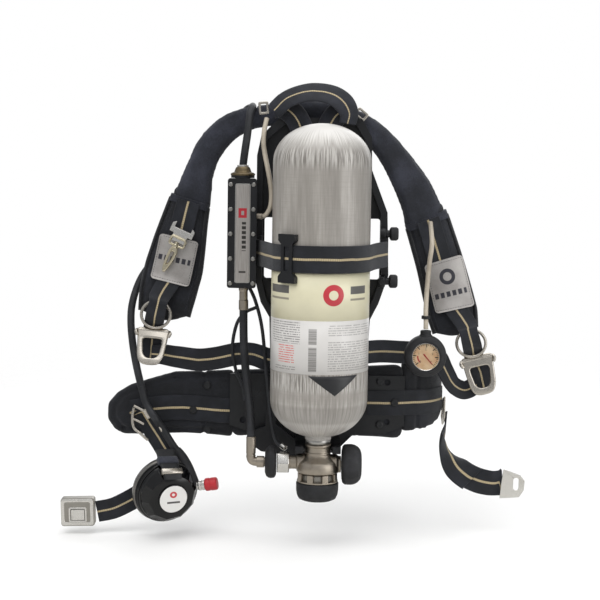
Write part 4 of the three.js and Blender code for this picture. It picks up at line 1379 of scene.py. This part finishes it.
def right_wing(lumbar):
    """The right wing, curled back at rest, and the webbing that comes off the frame on to it."""
    wing = stuffed("belt_wing_right", node_shape("belt_pad_right", raised_wing), PADDING, 2.5,
                   node="belt_pad_right", body=FREE,
                   seams=[[(150, -136), (150, -172)], [(150, -212), (150, -240)]])
    rows = [upright(x, BELT_FRONT, -191, 19) for x in (74, 95, 115)]
    for turn in (0, 20, 40, 60, 82):
        out = Vector((math.sin(math.radians(turn)), -math.cos(math.radians(turn)), 0))
        middle = Vector((lumbar_high.x, BELT_FRONT + 7 + CURL, -190))
        rows.append([middle + out * CURL, UP * 19, out])
    behind = nodes["back_frame"]
    rows = laid(finer(rows, 2), surface_of(wing, lumbar, behind), 1.6)
    belt = strap("belt_webbing_right", rows, WEBBING, body=FREE)
    for made in (wing, belt):
        bend(made, "belt_right", lumbar_high.x, -4, 12)
    rivets(((93, -158.5), (93, -224), (114.7, -190)), surface_of(lumbar, belt, behind), "root")


lumbar_cushion = stuffed("lumbar_cushion", node_shape("lumbar_pad", raised_right), PADDING, 2.5,
                         node="lumbar_pad", seams=[[(x, -150), (x, -240)] for x in (-60, 60)])
left_wing(lumbar_cushion)
right_wing(lumbar_cushion)

# ------------------------------------------------------------------ metal fittings of the harness
def d_ring(side):
    """A round ring, leaning back a little."""
    name = "strap_ring_" + side
    centre = cad_box(name)[2]
    lean = 0.1
    around = [centre + Vector((21.6 * c, 20 * math.sin(lean) * s, 20 * math.cos(lean) * s))
              for c, s in ring_of(64)]
    tube("d_ring_" + side, around, 2.3, CHROME, sides=16, closed=True, node=name)


def placed(at, tilt, lean):
    """Where an upright fitting stands, tilted about X and then leant about Y."""
    turn = Matrix.Rotation(lean, 4, "Y") @ Matrix.Rotation(tilt, 4, "X")
    turn.translation = Vector(at)
    return turn


def standing(turn, y):
    """Where a plate stands upright in a fitting, at a depth in it."""
    return turn @ Matrix.Translation((0, y, 0)) @ Matrix.Rotation(math.pi / 2, 4, "X")


def strap_buckle(side, at, tilt, lean):
    """A forged ladder buckle: a thick rounded frame, a bar across its head, a curled lug on each side."""
    node = "strap_buckle_" + side
    look = {"finish": CHROME, "body": body_of(node)}
    turn = placed(at, tilt, lean)
    outline = soften([(-24, -3), (24, -3), (23, -16), (20, -50), (14, -61), (4, -63), (-8, -63), (-16, -59),
                      (-20, -48), (-23, -14)], 6)
    window = soften([(-13, -20), (13, -20), (15, -25), (12, -46), (7, -52), (-6, -52), (-11, -46),
                     (-14, -25)], 4)
    head = [turn @ Vector((x, -1.5, -8)) for x in range(-22, 23, 4)]
    lug = path((20, -1.5, -8), (24, -2.5, -8), (25.5, -4.5, -12), (23, -4, -17))
    together("buckle_" + side, [
        plate("frame", outline, 5, standing(turn, -1.5), holes=[window], edge=2.2, **look),
        tube("head", head, 2.9, sides=20, **look),
        *[tube("lug", [turn @ Vector((p.x * sign, p.y, p.z)) for p in lug], 2.4, **look) for sign in (-1, 1)],
    ], node)


def buckle_case():
    """A pressed frame standing proud on the case, and another round its button."""
    low, _, centre = cad_box("buckle_case")
    button = cad_box("buckle_button")[2]
    look = {"finish": NICKEL, "body": body_of("buckle_case")}
    face = facing_plate((centre.x - 0.5, low.y - 0.4, centre.z), roll=0.03)
    plate("buckle_frame", rounded_rect(48, 40, 4), 1.6, face, holes=[rounded_rect(38, 30, 3)],
          edge=0.75, **look)
    rim = facing_plate((button.x, low.y - 0.6, button.z), roll=0.03)
    plate("buckle_button_rim", rounded_rect(27, 23, 3), 1.8, rim, holes=[rounded_rect(21.5, 17.5, 1.5)],
          edge=0.8, **look)


def wire_adjuster():
    """A sprung wire adjuster in front of the strap: a long wire, a clamp, a cross bar, a lower wire."""
    look = {"finish": CHROME, "body": body_of("belt_adjuster_left")}
    upper = path((-273, -26, -197), (-264, -28, -201), (-255, -30, -205.5), (-243, -31, -211),
                 (-232.5, -30, -231), (-223.5, -26, -246))
    lower = path((-274, -20, -201), (-276, -21, -215), (-273.5, -23, -230), (-264, -27, -238),
                 (-252, -29, -248))
    bar = path((-276, -22, -217), (-267, -27, -219.5), (-258, -29, -224))
    clamp = facing_plate((-253, -29, -208), roll=0.5)
    together("wire_adjuster", [
        tube("upper", upper, 1.9, sides=12, **look),
        tube("lower", lower, 2.1, sides=12, **look),
        tube("bar", bar, 1.8, sides=12, **look),
        plate("clamp", rounded_rect(8, 16, 2), 6, clamp, edge=1.6, **look),
    ], "belt_adjuster_left")


def snap_hook():
    """A wire eye under the plate, a swivel barrel, and a slim forged hook with its sprung gate."""
    look = {"finish": BRASS, "body": body_of("snap_hook")}
    turn = placed((-208.5, 10, 56), 0, 0.42)
    eye = soften([turn @ Vector((x, -6.2, z)) for x, z in ((-11, -5), (12, -5), (12, -17), (-11, -17))], 3)
    barrel = [(0, 0), (3.2, 0), (3.8, 2), (3.8, 5), (3, 6), (3, 9), (0, 9)]
    outline = soften([(-4, -18), (4, -18), (7, -25), (6.5, -38), (4, -52), (1, -61), (-3, -60), (-5.5, -51),
                      (-6.5, -40), (-6.5, -26)], 3)
    opening = soften([(-1.6, -27), (2, -27), (2.2, -36), (0.6, -45), (-1.4, -48), (-2.4, -41),
                      (-2.4, -31)], 1.3)
    together("snap_hook_forging", [
        tube("eye", eye, 1.8, closed=True, sides=12, **look),
        lathe("swivel", barrel, turn @ Vector((0, -6.5, -21)), turn.to_3x3() @ UP, rounding=0.5,
              segments=28, **look),
        plate("hook", outline, 5.4, standing(turn, -6.5), holes=[opening], edge=1.9, **look),
    ], "snap_hook")
    gate = [turn @ Vector(point) for point in ((-3.4, -10, -23), (-3.8, -10, -35), (-3.6, -9.6, -50))]
    tube("hook_gate_bar", catmull(gate, 5), 1.5, BRASS, node="hook_gate")


def knob_posts():
    """The plastic post that each bracket knob turns on."""
    post = [(0, -14), (9, -14), (9, -6), (5.5, -5), (5.5, 1), (0, 1)]
    for name in ("bracket_knob_upper", "bracket_knob_lower"):
        low, _, centre = cad_box(name)
        lathe(name + "_post", post, (low.x, centre.y, centre.z), RIGHT, PLASTIC, rounding=0.6, segments=32)


for fitting, finish, edge in (
    ("cylinder_liner", ALLOY, 0), ("reducer_body", PLASTIC, 1.2), ("reducer_cover", PLASTIC, 1.2),
    ("reducer_piston", NICKEL, 0.5), ("belt_adjuster_right", CHROME, 0.9), ("buckle_button", NICKEL, 0.9),
    # the buckle case wears the darker copy of the nickel as painted shade
    ("buckle_tongue", NICKEL, 0.9), ("hook_plate", NICKEL, 0.8), ("buckle_case", SHADED_NICKEL, 1.2),
    ("back_frame", PLASTIC, 1.0), ("cylinder_cradle", RUBBER, 1.0), ("neck_saddle", PLASTIC, 1.5),
    ("band_slide", PLASTIC, 1.0), ("bracket_knob_upper", RUBBER, 1.0), ("bracket_knob_lower", RUBBER, 1.0),
    ("gauge_needle", RED, 0.15),
):
    refine(fitting, finish, edge)
d_ring("left")
d_ring("right")
strap_buckle("left", (-246, -3, -81), -0.55, 0.08)
strap_buckle("right", (235, -3, -114), -0.1, -0.24)
buckle_case()
wire_adjuster()
snap_hook()
knob_posts()

# ------------------------------------------------------------------ demand regulator
REGULATOR_AXIS = Vector((0.42, -0.88, -0.2)).normalized()
REG_BODY = body_of("regulator_body")


def regulator_origin():
    """The centre of the regulator's back plate, worked out from its cover's box."""
    cover = cad_box("regulator_cover")
    foot_radius, foot, face_radius, face = 45.0, 12.3, 22.0, 38.5
    origin = Vector()
    for k in range(3):
        along = REGULATOR_AXIS[k]
        spread = math.sqrt(max(0.0, 1 - along ** 2))
        far = max(along * foot + foot_radius * spread, along * face + face_radius * spread)
        near = min(along * foot - foot_radius * spread, along * face - face_radius * spread)
        origin[k] = (cover[0][k] - near + cover[1][k] - far) / 2
    return origin


REGULATOR = regulator_origin()


def regulator_case():
    """A rubber drum and two ringed rims, with two small pins on the left."""
    def turned(name, profile, finish, **more):
        lathe(name, profile, REGULATOR, REGULATOR_AXIS, finish, segments=96, **more)

    turned("reg_drum", [(0, -14), (30, -14), (40, -12), (44, -9), (44, 4.5), (0, 4.5)], RUBBER,
           rounding=1.5, node="regulator_body")
    turned("reg_back_ring", [(43, -10), (46.5, -8.6), (49.4, -4.5), (50, -1), (50, 2.6), (48.6, 4.6),
                             (43, 4.8)], SATIN, hollow=True, rounding=0.8, body=REG_BODY)
    turned("regulator_rings", [(0, 4), (48, 4), (48.6, 5.5), (48, 7), (46.4, 7.4), (46.4, 8.6), (47.6, 9),
                               (47.8, 10.5), (47, 12), (45, 12.4), (0, 12.4)], GLOSS, body=REG_BODY)
    left = UP.cross(REGULATOR_AXIS).normalized()
    for k, lean in enumerate((0.12, -0.3)):
        out = (left * math.cos(lean) + REGULATOR_AXIS.cross(left) * math.sin(lean)).normalized()
        lathe(f"reg_pin_{k}", [(0, 0), (3.4, 0), (3.4, 2.2), (2.4, 3.2), (0, 3.4)], REGULATOR + out * 47.5, out,
              NICKEL, rounding=0.3, segments=24, body=REG_BODY)


def faceted_dome():
    """The cover: a round skirt and face joined by a chamfer of ten flats."""
    profile = [(45, 12.3, 0), (45.2, 14, 0), (44.2, 16, 0), (43.4, 16.6, 0), (43, 19, 0), (42.6, 20.5, 1),
               (35, 31, 1), (33.8, 32, 0.5), (27, 34.6, 0), (23.6, 35.2, 0), (22.6, 35.2, 0), (22.4, 36.8, 0),
               (21.8, 37.4, 0), (0.05, 37.4, 0)]
    flats, steps = 10, 12
    turn = turn_to(REGULATOR_AXIS)
    rings = []
    for radius, height, share in profile:
        ring = []
        for i, (c, s) in enumerate(ring_of(flats * steps)):
            within = (i % steps) / steps - 0.5
            flat = math.cos(math.pi / flats) / math.cos(2 * math.pi / flats * within)
            r = radius * (1 - share + share * flat) + share * 0.8
            ring.append(REGULATOR + turn @ Vector((r * c, r * s, height)))
        rings.append(ring)
    piece("regulator_dome", make_mesh("dome", *skin(rings), sharp=14), GLOSS, node="regulator_cover")


def badge():
    """A pale disc with a red ring and a short dark bar."""
    made = Finish("badge", "#dedcd8", 0.32, slot="gloss_black", Coat_Weight=0.4)
    x, _, z = made.xyz()
    centre = REGULATOR + REGULATOR_AXIS * 38
    across, up = x - centre.x, z - centre.z
    tone = made.mix(across.far(up - 7).inside(2.2, 5.0), "#dedcd8", "#bd3237")
    made.base(made.mix(across.inside(-9, 9) * up.inside(-6.5, -3.5), tone, "#4d4b49"))
    lathe("regulator_badge", [(0, 37.2), (21, 37.2), (21, 38.0), (20.4, 38.5), (0, 38.5)], REGULATOR,
          REGULATOR_AXIS, made, segments=64, body=REG_BODY)


def inlet_boot():
    """The rubber boot, widening away from the hose, that joins the hose to the regulator."""
    centres = path((-209, -33.5, -261), (-200, -37, -272.5), (-190.5, -41, -291), (-182, -42, -312), steps=5)
    radii = [6.6 + 2.6 * min(1, 0.12 * k) for k in range(len(centres))]
    tube("regulator_inlet", centres, radii, RUBBER, sides=24, body=REG_BODY)


def holder():
    """The strap that carries the regulator: over the rim and down the cover's upper slope."""
    up = Vector((0.05, 0, 1))
    up = (up - REGULATOR_AXIS * up.dot(REGULATOR_AXIS)).normalized()
    side = up.cross(REGULATOR_AXIS)
    rows = ((60, -5, -5, 15), (56, 5, -7, 14), (51.5, 15, -7.5, 13.5), (47, 23, -7, 13.5),
            (41, 31, -5.5, 14), (36, 35, -5, 14), (31, 37, -5, 13))
    spine = []
    for k, (reach, height, aside, half) in enumerate(rows):
        before, after = rows[max(k - 1, 0)], rows[min(k + 1, len(rows) - 1)]
        out = up * (after[1] - before[1]) - REGULATOR_AXIS * (after[0] - before[0])
        centre = REGULATOR + up * reach + REGULATOR_AXIS * height + side * aside
        spine.append([centre, side * half, out.normalized()])
    spine = finer(spine, 4)
    section = [(u, h * 2) for u, h in ring_of(24, power=0.35)]
    loft("holder_tongue", spine, section, PLASTIC, body=REG_BODY, node="regulator_holder")
    ends = ((-1.14, 0.6), (-1.12, 0.9), (-1.06, 1), (1.06, 1), (1.12, 0.9), (1.14, 0.6))
    for name, at, finish, reach, lift in (("holder_keeper", 8, SLEEVE, 6.2, 4.4),
                                          ("holder_bar", 16, CHROME, 4.6, 4.2)):
        centre, half, out = spine[at]
        along = half.normalized().cross(out)
        rings = [[centre + half * share + along * u * reach * close + out * h * lift * close
                  for u, h in ring_of(20, power=0.5)] for share, close in ends]
        piece(name, make_mesh(name, *skin(rings)), finish, body=REG_BODY)


def purge():
    """Outlet stem and its red knob."""
    at, axis = (-174, -48, -311), (0.97, -0.12, 0.16)
    barrel = [(0, -3), (6.2, -3), (6.2, -1), (7.6, 0.4), (7.6, 2.6), (6.8, 3.2), (6.8, 4.4), (7.5, 5),
              (7.5, 9), (0, 9)]
    grip = [(0, 9.3), (8, 9.3), (9.4, 10.4), (9.6, 12), (9.6, 16), (9.0, 16.8), (9.0, 17.8), (9.6, 18.6),
            (9.6, 25), (9, 27), (7.6, 28), (0, 28)]
    lathe("purge_barrel", barrel, at, axis, NICKEL, rounding=0.3, node="purge_stem")
    lathe("purge_grip", grip, at, axis, RED, rounding=0.4, node="purge_knob")


regulator_case()
faceted_dome()
badge()
inlet_boot()
holder()
purge()

# ------------------------------------------------------------------ pressure gauge
GAUGE = Vector((156, -46, -113))
GAUGE_BODY = body_of("gauge_case")


def dial_finish():
    """A warm dial with fine and coarse ticks round most of it, and a red stretch at the low end."""
    made = Finish("gauge_dial", "#dcc09a", 0.5, slot="gauge_line")
    x, _, z = made.xyz()
    across, up = x - GAUGE.x, z - GAUGE.z
    far = across.far(up)
    angle = across.math("ARCTAN2", up)

    def ticks(pitch, start, end, inner):
        return (angle + 2 * math.pi).math("MODULO", pitch).inside(start, end, 0.02) * far.inside(inner, 18.6)

    marks = ticks(0.157, 0.05, 0.1, 16.2).math("MAXIMUM", ticks(0.785, 0.03, 0.13, 13.6))
    marks = marks * angle.math("ABSOLUTE").between(2.4, 2.45, 1, 0)
    tone = made.mix(made.patchy(0.06).between(0.3, 0.7), "#e0c6a0", "#cfa67c")
    tone = made.mix(far.inside(10.6, 12.6) * angle.inside(-2.4, -1.5, 0.02), tone, "#b8332c")
    return made.base(made.mix(marks, tone, "#221d18"))


def gauge():
    """Rubber boot, dial, bezel and lens, and the boot's neck on the line."""
    boot = [(0, -14), (24, -14), (29.4, -10.5), (31, -5), (31, 3), (29.6, 9), (26, 12.6), (22.6, 14),
            (21, 13.4), (20.4, 11), (20.2, 8), (0, 8)]
    lathe("gauge_boot", boot, GAUGE, TO_VIEWER, RUBBER, rounding=1.2, segments=96, node="gauge_case")
    for name, profile, finish, hollow in (
        ("gauge_dial_face", [(0, 8), (20.2, 8), (20.2, 8.4), (0, 8.4)], dial_finish(), False),
        ("gauge_bezel", [(19.2, 8.2), (20.6, 8.2), (20.8, 12.4), (20, 13), (19.2, 12.2)], NICKEL, True),
        ("gauge_lens", [(0, 11.4), (19.6, 11.4), (19.6, 11.8), (12, 12.5), (0, 12.9)], GLASS, False),
    ):
        lathe(name, profile, GAUGE, TO_VIEWER, finish, hollow=hollow, body=GAUGE_BODY)
    lathe("gauge_stem", [(0, 26), (9.4, 26), (9.4, 31), (8, 31.6), (8, 37), (6.4, 38), (0, 38)],
          GAUGE, UP, RUBBER, rounding=0.6, segments=24, body=GAUGE_BODY)


def dial_numbers():
    """0 to 4 round the dial."""
    shown = []
    for number in range(5):
        angle = math.radians(-135 + 67.5 * number)
        text = bpy.data.curves.new("number", "FONT")
        text.body = str(number)
        text.size = 4.6 * MM
        text.extrude = 0.05 * MM
        text.align_x = "CENTER"
        text.align_y = "CENTER"
        at = facing_plate(GAUGE + Vector((10.8 * math.sin(angle), -8.5, 10.8 * math.cos(angle))))
        shown.append(piece("number", mesh_of_curve("number", text, at), DIAL_INK, body=GAUGE_BODY))
    together("dial_numbers", shown)


gauge()
dial_numbers()

# ------------------------------------------------------------------ stage, light and camera
def stage():
    """A pale floor that fades out, a little darker in reflections."""
    size, z = 4.0, cad_bounds[0].z - 0.012
    corners = [(-size, -size, z), (size, -size, z), (size, size, z), (-size, size, z)]
    mesh = bpy.data.meshes.new("floor")
    mesh.from_pydata(corners, [], [(0, 1, 2, 3)])
    floor = bpy.data.objects.new("floor", mesh)
    bpy.context.scene.collection.objects.link(floor)
    pale = Finish("floor", "#f4f3f1", 0.9)
    where = pale.add("TexCoord", output="Object")
    far = pale.add("VectorMath", {0: where}, output="Value", operation="LENGTH")
    pale.put(pale.shader, "Alpha", far.between(0.5, 2.2, 1.0, 0.0))
    pale.base(pale.mix(pale.add("LightPath", output="Is Glossy Ray"), "#f4f3f1", "#c9c8c5"))
    mesh.materials.append(pale.material)


def soft_light(name, at, target, size, power, mirrored=True):
    """A rectangular light, which glossy surfaces mirror unless told otherwise."""
    light = bpy.data.lights.new(name, "AREA")
    light.shape = "RECTANGLE"
    light.size, light.size_y = size
    light.energy = power
    made = bpy.data.objects.new(name, light)
    made.location = at
    made.rotation_mode = "QUATERNION"
    made.rotation_quaternion = (Vector(target) - Vector(at)).to_track_quat("-Z", "Y")
    made.visible_glossy = mirrored
    bpy.context.scene.collection.objects.link(made)


def surroundings():
    """White behind the object; for everything else a soft light that grows brighter upwards."""
    world = bpy.data.worlds.new("studio")
    bpy.context.scene.world = world
    world.use_nodes = True
    tree = world.node_tree
    tree.nodes.clear()

    def node(kind, **values):
        made = tree.nodes.new("ShaderNode" + kind)
        for socket, value in values.items():
            made.inputs[socket.replace("_", " ")].default_value = value
        return made

    seen = node("Background", Color=(1, 1, 1, 1), Strength=1.0)
    lit = node("Background", Color=(0.95, 0.97, 1, 1))
    direction, parts = node("TexCoord"), node("SeparateXYZ")
    rise = node("MapRange", From_Min=-0.7, From_Max=0.8, To_Min=0.24, To_Max=0.64)
    ray, blend, out = node("LightPath"), node("MixShader"), node("OutputWorld")
    for source, target in (
        (direction.outputs["Generated"], parts.inputs[0]), (parts.outputs["Z"], rise.inputs["Value"]),
        (rise.outputs[0], lit.inputs["Strength"]), (ray.outputs["Is Camera Ray"], blend.inputs[0]),
        (lit.outputs[0], blend.inputs[1]), (seen.outputs[0], blend.inputs[2]),
        (blend.outputs[0], out.inputs["Surface"]),
    ):
        tree.links.new(source, target)


def studio():
    """Soft light from the front left, above, the right and behind."""
    surroundings()
    soft_light("key", (-1.0, -1.7, 1.6), (0, 0, 0), (2.6, 2.2), 40, mirrored=False)
    soft_light("top", (0.2, -0.2, 2.1), (0, -0.05, 0), (2.8, 2.2), 25)
    soft_light("fill", (1.8, -1.1, 0.3), (0, 0, 0), (1.0, 2.0), 14)
    soft_light("back", (0.3, 1.9, 0.9), (0, 0, 0), (2.2, 1.6), 14)
    bpy.context.scene.view_settings.view_transform = "Standard"


def camera():
    """Looks along +Y from a little above, held with a slight roll."""
    lens = bpy.data.cameras.new("camera")
    lens.sensor_width = 36
    lens.lens = 90.8
    lens.clip_end = 100
    made = bpy.data.objects.new("camera", lens)
    bpy.context.scene.collection.objects.link(made)
    pitch, roll = math.radians(5.7), math.radians(0.86)
    level = Matrix.Rotation(math.pi / 2 - pitch, 3, "X")
    made.rotation_mode = "QUATERNION"
    made.rotation_quaternion = (level @ Matrix.Rotation(roll, 3, "Z")).to_quaternion()
    made.location = Vector((-28.9, -2247.3, 186.3)) * MM
    bpy.context.scene.camera = made


stage()
studio()
camera()
